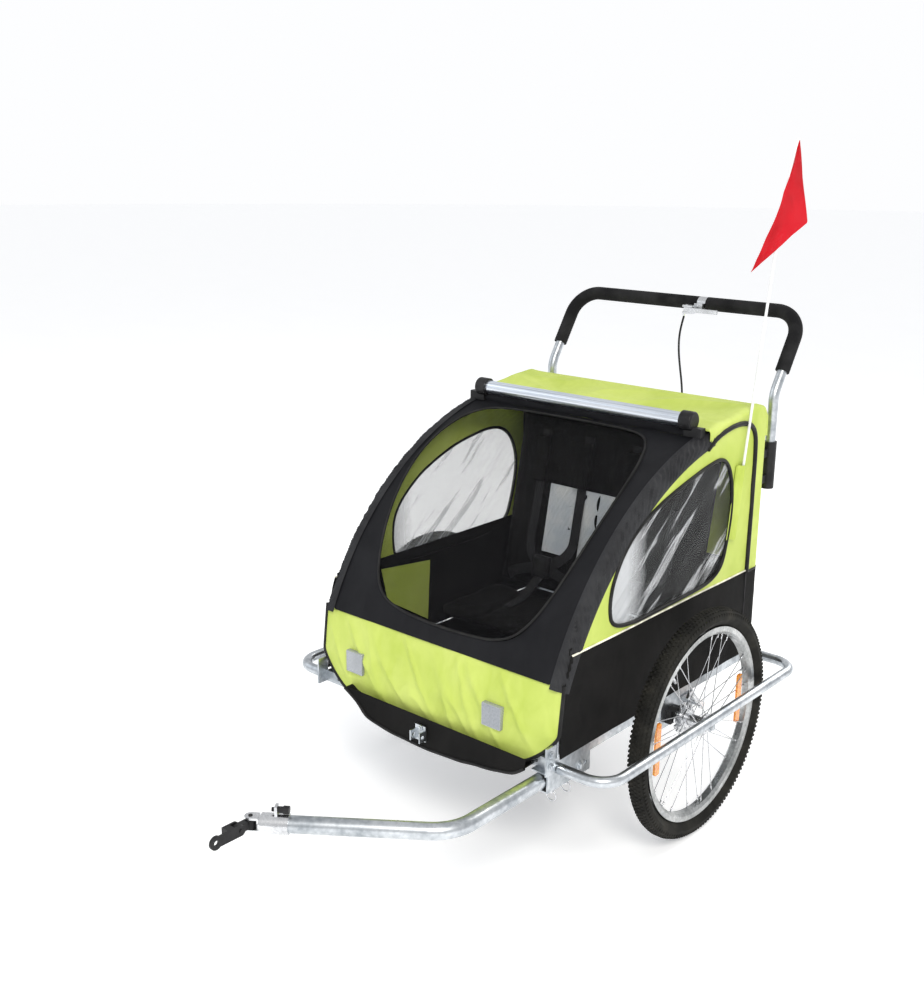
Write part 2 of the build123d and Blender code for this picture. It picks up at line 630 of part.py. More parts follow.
radii = cable_radii(cable_points)
print("brake cable radii", [round(radius) for radius in radii])
cable_path = FilletPolyline(*cable_points, radius=radii)
cable = sweep(Plane(origin=cable_path @ 0, z_dir=cable_path % 0) * Circle(cable_radius), path=cable_path)
section = pi * cable_radius**2
share = cable.volume / (section * cable_path.length)
print("brake cable length", round(cable_path.length), "volume share", round(share, 4))
wire_end = cable_points[-1]
wire = rod(wire_end, (actuator_x, 79, wire_end[2]), wire_radius)
save("brake_cable", cable + wire)

# ---- safety flag ---------------------------------------------------------------------------
lean = Vector(0, sin(radians(flag_lean)), cos(radians(flag_lean)))
foot = Vector(*flag_foot)
bend_start = foot + lean * ((hoist_foot_z - foot.Z) / lean.Z)
pole_tip = (flag_foot[0], bend_start.Y + 62.0, pole_top_z)
pole_path = Line(foot, bend_start) + TangentArc(bend_start, pole_tip, tangent=lean)
pole_section = Plane(origin=foot, z_dir=lean) * Circle(flag_pole_radius)
save("flag_pole", sweep(pole_section, path=pole_path))
pocket_length = 150.0
pocket = rod(foot + lean * 8, foot + lean * (8 + pocket_length), flag_pole_radius + 2.4)
pocket -= rod(foot, foot + lean * 220, flag_pole_radius + sliding_gap)
save("flag_pocket", pocket)

flag_x = flag_foot[0] + flag_pole_radius
pennant_points = [(pole_tip[1] - 1, pole_top_z - 2), (pole_tip[1] + 62, 1258), (182, 1166)]
pennant_face = side_face(*Polyline(*pennant_points, close=True).edges())
save("flag_pennant", extrude(Pos(flag_x + 0.2, 0, 0) * pennant_face, 2.5))

# ---- cloth walls -----------------------------------------------------------------------------
side_inner = cabin_half_width - cloth
cover_inner = cover_radius - cloth
hem_z = 308.0
front_top_y = arc_y(cover_radius, front_top_z)
cover_top = (cover_top_y, on_arc(cover_radius, cover_top_y))
cover_mid = (-200.0, on_arc(cover_radius, -200.0))
roof_front = (92.0, 857.0)
roof_rear = (cabin_rear - 36.0, 879.0)
side_outline = [
    Line((front_top_y, hem_z), (front_top_y, front_top_z)),
    ThreePointArc((front_top_y, front_top_z), cover_mid, cover_top),
    Line(cover_top, (roof_front[0], roof_front[1] - 12)),
    Line((roof_front[0], roof_front[1] - 12), (roof_rear[0] - 2, roof_rear[1] - cloth - 1)),
    Line((roof_rear[0] - 2, roof_rear[1] - cloth - 1), (cabin_rear - cloth - 0.5, 846)),
    Line((cabin_rear - cloth - 0.5, 846), (cabin_rear - cloth - 0.5, hem_z)),
    Line((cabin_rear - cloth - 0.5, hem_z), (front_top_y, hem_z)),
]
side_panel = extrude(Pos(side_inner, 0, 0) * side_face(*side_outline), cloth)
window_corners = [(-262, 507), (178, 517), (204, 640), (190, 800), (-60, 762), (-240, 640)]
window_radii = [26, 50, 200, 60, 300, 110]
window_edges = Polyline(*window_corners, close=True)
window_face = make_face(window_edges.edges())
for corner, bend in zip(window_corners, window_radii):
    window_face = fillet(window_face.vertices().sort_by_distance((*corner, 0))[0], bend)
window_face = Plane.YZ * window_face
window_cut = extrude(Pos(side_inner - 1, 0, 0) * window_face, cloth + 2)
window = extrude(Pos(side_inner + 1.0, 0, 0) * window_face, 1.0)
side_panel -= window_cut
left, right = both_sides(side_panel)
save("left_side_panel", left)
save("right_side_panel", right)
save("side_windows", *both_sides(window))

cover_strip = [
    ThreePointArc((front_top_y, front_top_z), cover_mid, cover_top),
    Line(cover_top, (cover_top_y, on_arc(cover_inner, cover_top_y))),
    ThreePointArc(
        (cover_top_y, on_arc(cover_inner, cover_top_y)),
        (-200.0, on_arc(cover_inner, -200.0)),
        (arc_y(cover_inner, front_top_z), front_top_z),
    ),
    Line((arc_y(cover_inner, front_top_z), front_top_z), (front_top_y, front_top_z)),
]
cover_half = side_inner - 0.5
front_cover = extrude(Pos(-cover_half, 0, 0) * side_face(*cover_strip), 2 * cover_half)
mouth_half = cabin_half_width - 107.5
mouth_front = (-360.0, 20.0)
mouth = Pos(0, sum(mouth_front) / 2, 700) * Box(2 * mouth_half, mouth_front[1] - mouth_front[0], 700)
mouth = fillet(mouth.edges().filter_by(Axis.Z), 55)
front_cover -= mouth
save("front_cover", front_cover)

foot_y, foot_z = front_foot
slope = Vector(0, front_top_y - foot_y, front_top_z - foot_z)
panel_plane = Plane(origin=(0, foot_y, foot_z), x_dir=(1, 0, 0), z_dir=(0, -slope.Z, slope.Y))
panel_tall = slope.length - 1.0
corner_rise = (front_corner_z - foot_z) / slope.Z * slope.length
panel_face = make_face(Polyline(
    (-front_foot_half, 0), (front_foot_half, 0), (cover_half, corner_rise),
    (cover_half, panel_tall), (-cover_half, panel_tall), (-cover_half, corner_rise),
    close=True,
))
front_panel = extrude(panel_plane * panel_face, -cloth)
save("front_panel", front_panel)

roof_outer = FilletPolyline(roof_front, roof_rear, (cabin_rear, 846), radius=30)
roof = extrude(Plane.YZ * trace(roof_outer, line_width=cloth), cabin_half_width, both=True)
save("roof", roof)

back_panel = block((-side_inner + 0.5, side_inner - 0.5), (cabin_rear - cloth, cabin_rear), (hem_z, 842))
for shape in brackets_both:
    low, high = shape.bounding_box().min, shape.bounding_box().max
    back_panel -= block((low.X - 1, high.X + 1), (low.Y, high.Y), (low.Z - 1, high.Z + 1))
save("back_panel", back_panel)

footwell_back = -180.0
belly_half = cabin_half_width - 64.5
belly_sides_z = 262.0
belly_low_z = 222.0
belly_top_z = 269.0


def belly_section(half, low, sides, top):
    edges = [
        ThreePointArc((-half, sides), (0, low), (half, sides)),
        Line((half, sides), (half, top)),
        Line((half, top), (-half, top)),
        Line((-half, top), (-half, sides)),
    ]
    return Plane.XZ * make_face(edges)


belly_depth = footwell_back - belly_front
belly_face = Pos(0, belly_front, 0) * belly_section(belly_half, belly_low_z, belly_sides_z, belly_top_z)
belly = extrude(belly_face, -belly_depth)
hollow_face = belly_section(belly_half - cloth, belly_low_z + cloth, belly_sides_z + 1, belly_top_z + 2)
belly -= extrude(Pos(0, belly_front + cloth, 0) * hollow_face, -(belly_depth - 2 * cloth))
save("belly_panel", belly)

floor_rear = post_y - frame_od / 2 - 3.0
floor_low = rail_top + 0.5
floor_panel = block((-rail_outer, rail_outer), (footwell_back, floor_rear), (floor_low, floor_low + cloth))
for panel_post in both_sides(rod((frame_x, post_y, rail_top), (frame_x, post_y, hem_z), frame_od / 2 + 1)):
    floor_panel -= panel_post
save("floor_panel", floor_panel)

# ---- seat, backrest and harness -----------------------------------------------------------------
seat_half = cabin_half_width - 37.5
seat_y = (-95.0, 130.0)
seat_z = (338.0, 378.0)
seat = block((-seat_half, seat_half), seat_y, seat_z)
seat = fillet(seat.edges(), 14)
save("seat_cushion", seat)
back_foot, back_head, back_thick = (150.0, 366.0), (236.0, 806.0), 22.0
back_line = Line(back_foot, back_head)
back_face = Plane.YZ * trace(back_line, line_width=back_thick)
backrest = extrude(back_face, seat_half, both=True)
backrest = fillet(backrest.edges().filter_by(Axis.X), 8)
save("backrest", backrest)
back_lean = degrees(atan2(back_head[0] - back_foot[0], back_head[1] - back_foot[1]))
back_mid = ((back_foot[0] + back_head[0]) / 2, (back_foot[1] + back_head[1]) / 2)
back_plane = Pos(0, *back_mid) * Rot(-back_lean, 0, 0)
webbing, webbing_thick = 25.0, 2.5
strap_out = back_thick / 2 + 0.75 + webbing_thick / 2
strap_length = 330.0
straps = []
seat_middle = seat_half / 2
strap_spread = 50.0
for seat_side in (-1, 1):
    x = seat_side * seat_middle
    for strap_x in (x - strap_spread, x + strap_spread):
        straps.append(back_plane * Pos(strap_x, -strap_out, 20) * Box(webbing, webbing_thick, strap_length))
    crotch_z = seat_z[1] + 1.0
    crotch_x = (x - webbing / 2, x + webbing / 2)
    straps.append(block(crotch_x, (seat_y[0] + 35, seat_y[1] - 10), (crotch_z, crotch_z + webbing_thick)))
save("harness_straps", *straps)

# ---- reflectors on the front panel ---------------------------------------------------------------
reflector_size = 48.0
reflector_rise = 74.0
reflector_plane = panel_plane * Pos(0, reflector_rise, 1.4)
patch = Box(reflector_size, reflector_size, 2)
save("front_reflectors", *[reflector_plane * Pos(x, 0) * patch for x in (-212.0, 170.0)])
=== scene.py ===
from math import atan2, cos, pi, radians, sin, sqrt

import bmesh
import bpy
from mathutils import Matrix, Vector, noise


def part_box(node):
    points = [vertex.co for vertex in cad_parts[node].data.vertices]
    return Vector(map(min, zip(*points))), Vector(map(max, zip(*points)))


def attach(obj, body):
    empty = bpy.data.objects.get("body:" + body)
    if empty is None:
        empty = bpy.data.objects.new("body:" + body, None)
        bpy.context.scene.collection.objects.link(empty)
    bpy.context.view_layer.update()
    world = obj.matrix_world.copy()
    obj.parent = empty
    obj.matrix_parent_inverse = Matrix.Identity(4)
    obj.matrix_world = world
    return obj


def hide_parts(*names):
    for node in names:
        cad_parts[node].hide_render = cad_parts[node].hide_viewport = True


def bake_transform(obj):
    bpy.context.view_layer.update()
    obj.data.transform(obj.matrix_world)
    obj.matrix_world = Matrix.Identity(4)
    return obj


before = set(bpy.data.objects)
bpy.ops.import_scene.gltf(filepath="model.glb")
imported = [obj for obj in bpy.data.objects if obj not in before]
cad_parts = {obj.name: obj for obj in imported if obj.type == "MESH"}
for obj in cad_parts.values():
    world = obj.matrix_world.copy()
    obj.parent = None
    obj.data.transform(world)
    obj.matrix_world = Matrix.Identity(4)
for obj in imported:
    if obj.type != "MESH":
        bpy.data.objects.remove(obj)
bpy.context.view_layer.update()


# ---- Camera ---------------------------------------------------------------------------
# An ordinary lens in front of the trailer's left corner, above the height of its handle.
# Places along the trailer are given from the line of its axles, which the tyres show.
tyre_low, tyre_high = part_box("left_tyre")
axle_y = (tyre_low.y + tyre_high.y) / 2


def from_axle(x, y, z):
    return Vector((x, y + axle_y, z))


eye = from_axle(1.556, -2.099, 1.407)
turn, drop, roll = radians(41.17), radians(16.02), radians(0.44)
forward = Vector((-sin(turn) * cos(drop), cos(turn) * cos(drop), -sin(drop)))
level_right = forward.cross(Vector((0, 0, 1))).normalized()
level_up = level_right.cross(forward)
right = cos(roll) * level_right + sin(roll) * level_up
up = cos(roll) * level_up - sin(roll) * level_right
bpy.ops.object.camera_add()
camera = bpy.context.object
camera.name = "camera"
camera.matrix_world = Matrix.Translation(eye) @ Matrix((right, up, -forward)).transposed().to_4x4()
camera.data.lens = 44.19
camera.data.sensor_width = 36
camera.data.clip_end = 100
bpy.context.scene.camera = camera


# ---- Floor and light --------------------------------------------------------------------
# A plain pale floor that gives off a little light, a surround that looks brighter than it
# lights, and three large soft lights: a warm key, a cool fill and one behind.
def new_material(name, colour, roughness, metallic=0.0, shine=0.5):
    material = bpy.data.materials.new(name)
    material.use_nodes = True
    shader = material.node_tree.nodes["Principled BSDF"]
    shader.inputs["Base Color"].default_value = (*colour, 1)
    shader.inputs["Roughness"].default_value = roughness
    shader.inputs["Metallic"].default_value = metallic
    shader.inputs["Specular IOR Level"].default_value = shine
    return material, material.node_tree, shader


def coordinates(tree, source="Object", scale=(1, 1, 1), turned=(0, 0, 0)):
    place = tree.nodes.new("ShaderNodeTexCoord")
    mapping = tree.nodes.new("ShaderNodeMapping")
    mapping.inputs["Scale"].default_value = scale
    mapping.inputs["Rotation"].default_value = turned
    tree.links.new(place.outputs[source], mapping.inputs["Vector"])
    return mapping.outputs["Vector"]


def noise_pattern(tree, vector, scale, detail=3.0, distortion=0.0):
    pattern = tree.nodes.new("ShaderNodeTexNoise")
    pattern.inputs["Scale"].default_value = scale
    pattern.inputs["Detail"].default_value = detail
    pattern.inputs["Distortion"].default_value = distortion
    tree.links.new(vector, pattern.inputs["Vector"])
    return pattern.outputs["Fac"]


def ramp(tree, factor, *stops):
    """Colours along a factor, given as (position, colour) pairs."""
    node = tree.nodes.new("ShaderNodeValToRGB")
    while len(node.color_ramp.elements) < len(stops):
        node.color_ramp.elements.new(0.5)
    for element, (position, colour) in zip(node.color_ramp.elements, stops):
        element.position = position
        element.color = (*colour, 1) if len(colour) == 3 else (colour[0], colour[0], colour[0], 1)
    tree.links.new(factor, node.inputs["Fac"])
    return node.outputs["Color"]


def mathed(tree, operation, first, second):
    node = tree.nodes.new("ShaderNodeMath")
    node.operation = operation
    for socket, value in zip(node.inputs, (first, second)):
        if isinstance(value, (int, float)):
            socket.default_value = value
        else:
            tree.links.new(value, socket)
    return node.outputs["Value"]


def bump(tree, shader, height, distance, strength=1.0):
    node = tree.nodes.new("ShaderNodeBump")
    node.inputs["Distance"].default_value = distance
    node.inputs["Strength"].default_value = strength
    tree.links.new(height, node.inputs["Height"])
    tree.links.new(node.outputs["Normal"], shader.inputs["Normal"])


bpy.ops.object.select_all(action="DESELECT")
bpy.ops.mesh.primitive_circle_add(vertices=128, radius=30, fill_type="NGON")
floor = bpy.context.object
floor.name = "floor"
floor_paint, tree, shader = new_material("floor_paint", (0.90, 0.905, 0.91), 0.7)
speckle = noise_pattern(tree, coordinates(tree), 3.0)
tree.links.new(
    ramp(tree, speckle, (0.3, (0.89, 0.895, 0.90)), (0.7, (0.91, 0.915, 0.92))), shader.inputs["Base Color"]
)
shader.inputs["Emission Color"].default_value = (0.97, 0.98, 1.0, 1)
shader.inputs["Emission Strength"].default_value = 0.34
floor.data.materials.append(floor_paint)

world = bpy.data.worlds.new("studio")
bpy.context.scene.world = world
world.use_nodes = True
surround = world.node_tree.nodes["Background"]
surround.inputs["Color"].default_value = (0.985, 0.99, 1.0, 1)
seen = world.node_tree.nodes.new("ShaderNodeLightPath")
brightness = world.node_tree.nodes.new("ShaderNodeMapRange")
brightness.inputs["To Min"].default_value = 0.70
brightness.inputs["To Max"].default_value = 1.0
world.node_tree.links.new(seen.outputs["Is Camera Ray"], brightness.inputs["Value"])
world.node_tree.links.new(brightness.outputs["Result"], surround.inputs["Strength"])
for name, place, size, power, tint in (
    ("key_light", (2.9, -2.6, 3.6), 1.6, 150, (1.0, 0.97, 0.92)),
    ("fill_light", (-3.4, -1.8, 2.4), 3.0, 25, (0.90, 0.95, 1.0)),
    ("back_light", (0.6, 3.4, 2.8), 2.4, 60, (1.0, 0.98, 0.95)),
):
    bpy.ops.object.light_add(type="AREA", location=place)
    light = bpy.context.object
    light.name = name
    light.data.size = size
    light.data.energy = power
    light.data.color = tint
    light.rotation_euler = (Vector(place) - Vector((0, 0, 0.5))).to_track_quat("Z", "Y").to_euler()
bpy.context.scene.view_settings.view_transform = "Standard"


# ---- Base frame and wheel guards ----------------------------------------------------------
# Square rails, round cross tubes, side arcs and wheel guards of hot galvanised steel tube,
# bolted through corner plates. Zinc gives it a cloudy, bluish-white face with fine spangle.
def metal(name, dark, light, roughness, grain=90.0):
    material, tree, shader = new_material(name, light, roughness, 1.0)
    spot = coordinates(tree)
    cloud = noise_pattern(tree, spot, 14.0, 5.0, 0.4)
    spangle = noise_pattern(tree, spot, grain, 2.0)
    both = mathed(tree, "ADD", mathed(tree, "MULTIPLY", cloud, 0.65), mathed(tree, "MULTIPLY", spangle, 0.35))
    tree.links.new(ramp(tree, both, (0.36, dark), (0.60, light)), shader.inputs["Base Color"])
    rough = ramp(tree, both, (0.3, (roughness + 0.14,)), (0.7, (roughness - 0.06,)))
    tree.links.new(rough, shader.inputs["Roughness"])
    bump(tree, shader, spangle, 0.0002, 0.5)
    return material


def finish_nodes(material, *names):
    for name in names:
        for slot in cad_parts[name].material_slots:
            slot.material = material


zinc = metal("galvanised_steel", (0.34, 0.37, 0.40), (0.66, 0.69, 0.72), 0.30)
finish_nodes(
    zinc, "left_rail", "right_rail", "cross_tubes", "side_arcs", "rear_frame", "left_wheel_guard",
    "right_wheel_guard", "corner_brackets", "nose_wheel_bracket", "axle_brackets",
)


def select_only(piece):
    bpy.ops.object.select_all(action="DESELECT")
    piece.select_set(True)
    bpy.context.view_layer.objects.active = piece


def apply_modifiers(piece):
    select_only(piece)
    for modifier in list(piece.modifiers):
        bpy.ops.object.modifier_apply(modifier=modifier.name)


def settle(piece):
    """Moves a piece's place into its mesh, so that the object itself stands at the origin."""
    select_only(piece)
    bpy.ops.object.transform_apply(location=True, rotation=True, scale=True)


def on_body(piece, name, body, material, smooth=40):
    """Names a finished piece, gives it its finish, and lets it ride on its CAD body."""
    piece.name = name
    piece.data.materials.clear()
    piece.data.materials.append(material)
    select_only(piece)
    bpy.ops.object.shade_smooth_by_angle(angle=radians(smooth))
    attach(piece, body)
    return piece


def hex_bolt(name, place, along, radius, height, body):
    """A bevelled hexagon head on a washer, standing on a face and pointing along it."""
    away = Vector(along).normalized()
    bpy.ops.object.select_all(action="DESELECT")
    turn_to = away.to_track_quat("Z", "Y").to_euler()
    bpy.ops.mesh.primitive_cylinder_add(
        vertices=6, radius=radius, depth=height, location=Vector(place) + away * (height / 2 + 0.001), rotation=turn_to
    )
    head = bpy.context.object
    bpy.ops.mesh.primitive_cylinder_add(
        vertices=28, radius=radius * 1.45, depth=0.0015, location=Vector(place) + away * 0.00075, rotation=turn_to
    )
    washer = bpy.context.object
    bpy.ops.object.select_all(action="DESELECT")
    washer.select_set(True)
    head.select_set(True)
    bpy.context.view_layer.objects.active = head
    bpy.ops.object.join()
    bevel = head.modifiers.new("edge", "BEVEL")
    bevel.width = 0.0006
    bevel.segments = 2
    apply_modifiers(head)
    settle(head)
    return on_body(head, name, body, zinc)


corner_low, corner_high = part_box("corner_brackets")
for side, sign in (("left", 1), ("right", -1)):
    for number, share in enumerate((0.30, 0.72)):
        height = corner_low.z + share * (corner_high.z - corner_low.z)
        spot = (sign * corner_high.x, corner_low.y + 0.014, height)
        hex_bolt(f"{side}_corner_bolt_{number + 1}", spot, (sign, 0, 0), 0.0055, 0.004, "trailer")


# ---- Axle housings, axles and brake discs --------------------------------------------------
# Black moulded blocks carry each stub axle. The toothed parking-brake discs and the cross
# rod with its dogs are zinc-plated steel.
def moulded(name, colour, roughness, grain=900.0, depth=0.00012, shine=0.2):
    material, tree, shader = new_material(name, colour, roughness, shine=shine)
    spot = coordinates(tree)
    fine = noise_pattern(tree, spot, grain, 2.0)
    worn = noise_pattern(tree, spot, 35.0, 4.0)
    lighter = tuple(channel * 1.9 + 0.004 for channel in colour)
    tree.links.new(ramp(tree, worn, (0.42, colour), (0.72, lighter)), shader.inputs["Base Color"])
    bump(tree, shader, fine, depth, 0.8)
    return material


black_plastic = moulded("black_plastic", (0.012, 0.012, 0.013), 0.38)
plated = metal("plated_steel", (0.50, 0.51, 0.53), (0.80, 0.81, 0.83), 0.22, 240.0)
finish_nodes(black_plastic, "axle_housings", "front_bar_caps", "hitch_knob")
finish_nodes(plated, "axles", "left_brake_disc", "right_brake_disc", "brake_rod", "left_hub", "right_hub")
axle_low, axle_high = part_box("axles")
wheel_high = axle_low.z + (axle_high.z - axle_low.z) / 2
for side, sign in (("left", 1), ("right", -1)):
    hex_bolt(
        f"{side}_axle_nut", (sign * (axle_high.x - 0.0002), axle_y, wheel_high), (sign, 0, 0), 0.0075, 0.006,
        "trailer"
    )


# ---- Wheels ----------------------------------------------------------------------------------
# Twenty inch wheels: an olive-black rubber tyre with rows of small tread knobs, an aluminium
# rim, bright crossed spokes in brass-type nipples, and two amber bar reflectors.
rubber, tree, shader = new_material("tyre_rubber", (0.016, 0.0155, 0.013), 0.75, shine=0.15)
spot = coordinates(tree)
dust = noise_pattern(tree, spot, 26.0, 6.0, 0.3)
tree.links.new(
    ramp(tree, dust, (0.35, (0.009, 0.009, 0.008)), (0.58, (0.018, 0.0175, 0.015)), (0.82, (0.040, 0.037, 0.030))),
    shader.inputs["Base Color"],
)
bump(tree, shader, noise_pattern(tree, spot, 700.0, 2.0), 0.0002, 0.7)
rim_metal = metal("rim_aluminium", (0.30, 0.31, 0.31), (0.55, 0.56, 0.56), 0.26, 160.0)
spoke_steel = metal("spoke_steel", (0.42, 0.43, 0.45), (0.72, 0.73, 0.75), 0.18, 300.0)

amber, tree, shader = new_material("amber_reflector", (0.95, 0.36, 0.02), 0.12)
shader.inputs["Coat Weight"].default_value = 0.8
prisms = tree.nodes.new("ShaderNodeTexVoronoi")
prisms.inputs["Scale"].default_value = 260.0
tree.links.new(coordinates(tree), prisms.inputs["Vector"])
tree.links.new(
    ramp(
        tree, prisms.outputs["Distance"], (0.1, (1.0, 0.52, 0.06)), (0.7, (0.80, 0.20, 0.01))
    ), shader.inputs["Base Color"]
)
bump(tree, shader, prisms.outputs["Distance"], 0.0006, 0.8)
finish_nodes(rim_metal, "left_rim", "right_rim")
finish_nodes(spoke_steel, "left_spokes", "right_spokes")
finish_nodes(amber, "left_reflectors", "right_reflectors")

tyre_radius = (tyre_high.z - tyre_low.z) / 2
tyre_half = (tyre_high.x - tyre_low.x) / 2
wheel_x = (tyre_low.x + tyre_high.x) / 2
knob_height = 0.0017
knobs_round = 148
knob_rows = (-0.0168, -0.0102, -0.0034, 0.0034, 0.0102, 0.0168)


def tyre_skin(across, height=0.0):
    """Radius of the tyre's crown at a distance across it from its middle plane."""
    centre = tyre_radius - tyre_half
    return centre + sqrt(max((tyre_half - knob_height) ** 2 - across**2, 0)) + height


def add_block(shape, corners):
    """A closed six-sided block from its four lower and four upper corners."""
    points = [shape.verts.new(corner) for corner in corners]
    for loop in ((3, 2, 1, 0), (4, 5, 6, 7), (0, 1, 5, 4), (1, 2, 6, 5), (2, 3, 7, 6), (3, 0, 4, 7)):
        shape.faces.new([points[index] for index in loop])


for side, sign in (("left", 1), ("right", -1)):
    body = f"{side}_wheel"
    hub_spot = Vector((sign * wheel_x, axle_y, tyre_radius))
    bpy.ops.object.select_all(action="DESELECT")
    bpy.ops.mesh.primitive_torus_add(
        major_segments=144, minor_segments=28, major_radius=tyre_radius - tyre_half,
        minor_radius=tyre_half - knob_height, location=hub_spot, rotation=(0, pi / 2, 0),
    )
    tyre = bpy.context.object
    settle(tyre)
    shape = bmesh.new()
    shape.from_mesh(tyre.data)
    for vertex in shape.verts:
        out = Vector((0, vertex.co.y - hub_spot.y, vertex.co.z - hub_spot.z))
        depth = tyre_radius - tyre_half - out.length
        if depth > 0:
            vertex.co.x = hub_spot.x + (vertex.co.x - hub_spot.x) * (1 - 0.42 * min(depth / 0.016, 1))
    step = 2 * pi / knobs_round
    for turn_number in range(knobs_round):
        for row, across in enumerate(knob_rows):
            middle = (turn_number + 0.5 * (row % 2)) * step
            narrow = 0.30 if row in (0, 5) else 0.34
            corners = []
            for height, share in ((-0.001, 1.0), (knob_height, 0.78)):
                for along, beside in ((-1, -1), (1, -1), (1, 1), (-1, 1)):
                    angle = middle + along * step * narrow * share
                    x = across + beside * 0.0028 * share
                    radius = tyre_skin(across, height) if height > 0 else tyre_skin(x, height)
                    corners.append(hub_spot + Vector((sign * x, radius * cos(angle), radius * sin(angle))))
            add_block(shape, corners)
    bmesh.ops.recalc_face_normals(shape, faces=shape.faces)
    shape.to_mesh(tyre.data)
    shape.free()
    on_body(tyre, f"{side}_tyre_and_tread", body, rubber, 38)
    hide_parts(f"{side}_tyre")

    rim_low, rim_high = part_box(f"{side}_rim")
    seat_radius = (rim_high.z - rim_low.z) / 2 - 0.0165
    bpy.ops.object.select_all(action="DESELECT")
    nipples = []
    for number in range(28):
        spoke_pair, flange = number // 2, number % 2
        leading = 1 if spoke_pair % 2 else -1
        angle = radians(spoke_pair * 360 / 14 + flange * 360 / 28 + leading * 32.0)
        place = hub_spot + Vector(
            (sign * (flange * 0.008 - 0.004), (seat_radius - 0.006) * cos(angle), (seat_radius - 0.006) * sin(angle))
        )
        bpy.ops.mesh.primitive_cylinder_add(
            vertices=8, radius=0.0019, depth=0.012, location=place, rotation=(pi / 2 + angle - pi, 0, 0)
        )
        nipples.append(bpy.context.object)
    place = hub_spot + Vector(
        (0, (seat_radius - 0.014) * cos(radians(130)), (seat_radius - 0.014) * sin(radians(130)))
    )
    bpy.ops.mesh.primitive_cylinder_add(
        vertices=12, radius=0.0035, depth=0.03, location=place, rotation=(pi / 2 + radians(130) - pi, 0, 0)
    )
    nipples.append(bpy.context.object)
    for nipple in nipples:
        nipple.select_set(True)
    bpy.context.view_layer.objects.active = nipples[0]
    bpy.ops.object.join()
    joined = bpy.context.object
    bevel = joined.modifiers.new("edge", "BEVEL")
    bevel.width = 0.0005
    apply_modifiers(joined)
    settle(joined)
    on_body(joined, f"{side}_nipples_and_valve", body, spoke_steel)


# ---- Drawbar, its channel and its ring pins -----------------------------------------------
# A bent galvanised tube runs forward from a square channel under the left rail, where two
# plated pins with wire rings hold it. The channel is bolted through the rail.
finish_nodes(zinc, "drawbar", "drawbar_channel")
finish_nodes(plated, "front_pin", "rear_pin", "front_ring", "rear_ring")
channel_low, channel_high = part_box("drawbar_channel")
hex_bolt(
    "channel_bolt", (channel_high.x, channel_high.y - 0.034, (channel_low.z + channel_high.z) / 2), (1, 0, 0),
    0.0065, 0.005, "trailer"
)


# ---- Hitch ----------------------------------------------------------------------------------
# A plated clamp on the drawbar's end with its lock knob, then a black swivel, yoke and arm
# that let the bicycle lean, turn and climb.
black_steel = moulded("black_steel", (0.010, 0.010, 0.011), 0.30, 500.0, 0.00008)
finish_nodes(plated, "hitch_socket", "hitch_swivel")
finish_nodes(black_steel, "hitch_yoke", "hitch_arm")


# ---- Front bar -------------------------------------------------------------------------------
# A grooved aluminium section across the cabin's brow, with round black caps at its ends.
bar_metal, tree, shader = new_material("bar_aluminium", (0.78, 0.82, 0.88), 0.28, 1.0)
drawn = noise_pattern(tree, coordinates(tree, scale=(1.5, 160, 160)), 3.0, 3.0)
tree.links.new(ramp(tree, drawn, (0.35, (0.60, 0.66, 0.74)), (0.65, (0.84, 0.87, 0.92))), shader.inputs["Base Color"])
bump(tree, shader, drawn, 0.0001, 0.4)
finish_nodes(bar_metal, "front_bar")


# ---- Push handle, grip and sleeves -------------------------------------------------------------
# A galvanised handle slides in two black sleeves at the back. Its bar is covered in black
# foam, with a bare gap for the brake lever's clamp.
foam, tree, shader = new_material("grip_foam", (0.010, 0.010, 0.011), 0.85, shine=0.12)
spot = coordinates(tree)
cells = tree.nodes.new("ShaderNodeTexVoronoi")
cells.inputs["Scale"].default_value = 700.0
tree.links.new(spot, cells.inputs["Vector"])
bump(tree, shader, cells.outputs["Distance"], 0.0005, 0.8)
worn = noise_pattern(tree, spot, 18.0, 4.0)
tree.links.new(
    ramp(tree, worn, (0.4, (0.010, 0.010, 0.011)), (0.75, (0.030, 0.030, 0.031))), shader.inputs["Base Color"]
)
finish_nodes(zinc, "handle_tube")
finish_nodes(foam, "handle_grip")
finish_nodes(black_plastic, "handle_sleeves")
finish_nodes(plated, "lever_clamp", "brake_lever")


# ---- Brake cable ----------------------------------------------------------------------------------
# A black sheathed cable from the lever's barrel down behind the cabin and under the floor to
# the brake rod. Clips hold it.
def tube_along(name, points, radius, body, material, cyclic=False, smooth=True, flatten=1.0):
    """A round cord on a smooth line through given points, made a mesh."""
    line = bpy.data.curves.new(name, "CURVE")
    line.dimensions = "3D"
    spline = line.splines.new("NURBS" if smooth else "POLY")
    spline.points.add(len(points) - 1)
    for point, target in zip(spline.points, points):
        point.co = (*target, 1)
    if smooth:
        spline.order_u = 3
        spline.use_endpoint_u = not cyclic
    spline.use_cyclic_u = cyclic
    line.resolution_u = 6
    line.bevel_depth = radius
    line.bevel_resolution = 3
    line.use_fill_caps = not cyclic
    piece = bpy.data.objects.new(name, line)
    bpy.context.scene.collection.objects.link(piece)
    select_only(piece)
    bpy.ops.object.convert(target="MESH")
    piece = bpy.context.object
    piece.name = name
    piece.data.materials.clear()
    piece.data.materials.append(material)
    bpy.ops.object.shade_smooth_by_angle(angle=radians(50))
    if body:
        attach(piece, body)
    return piece


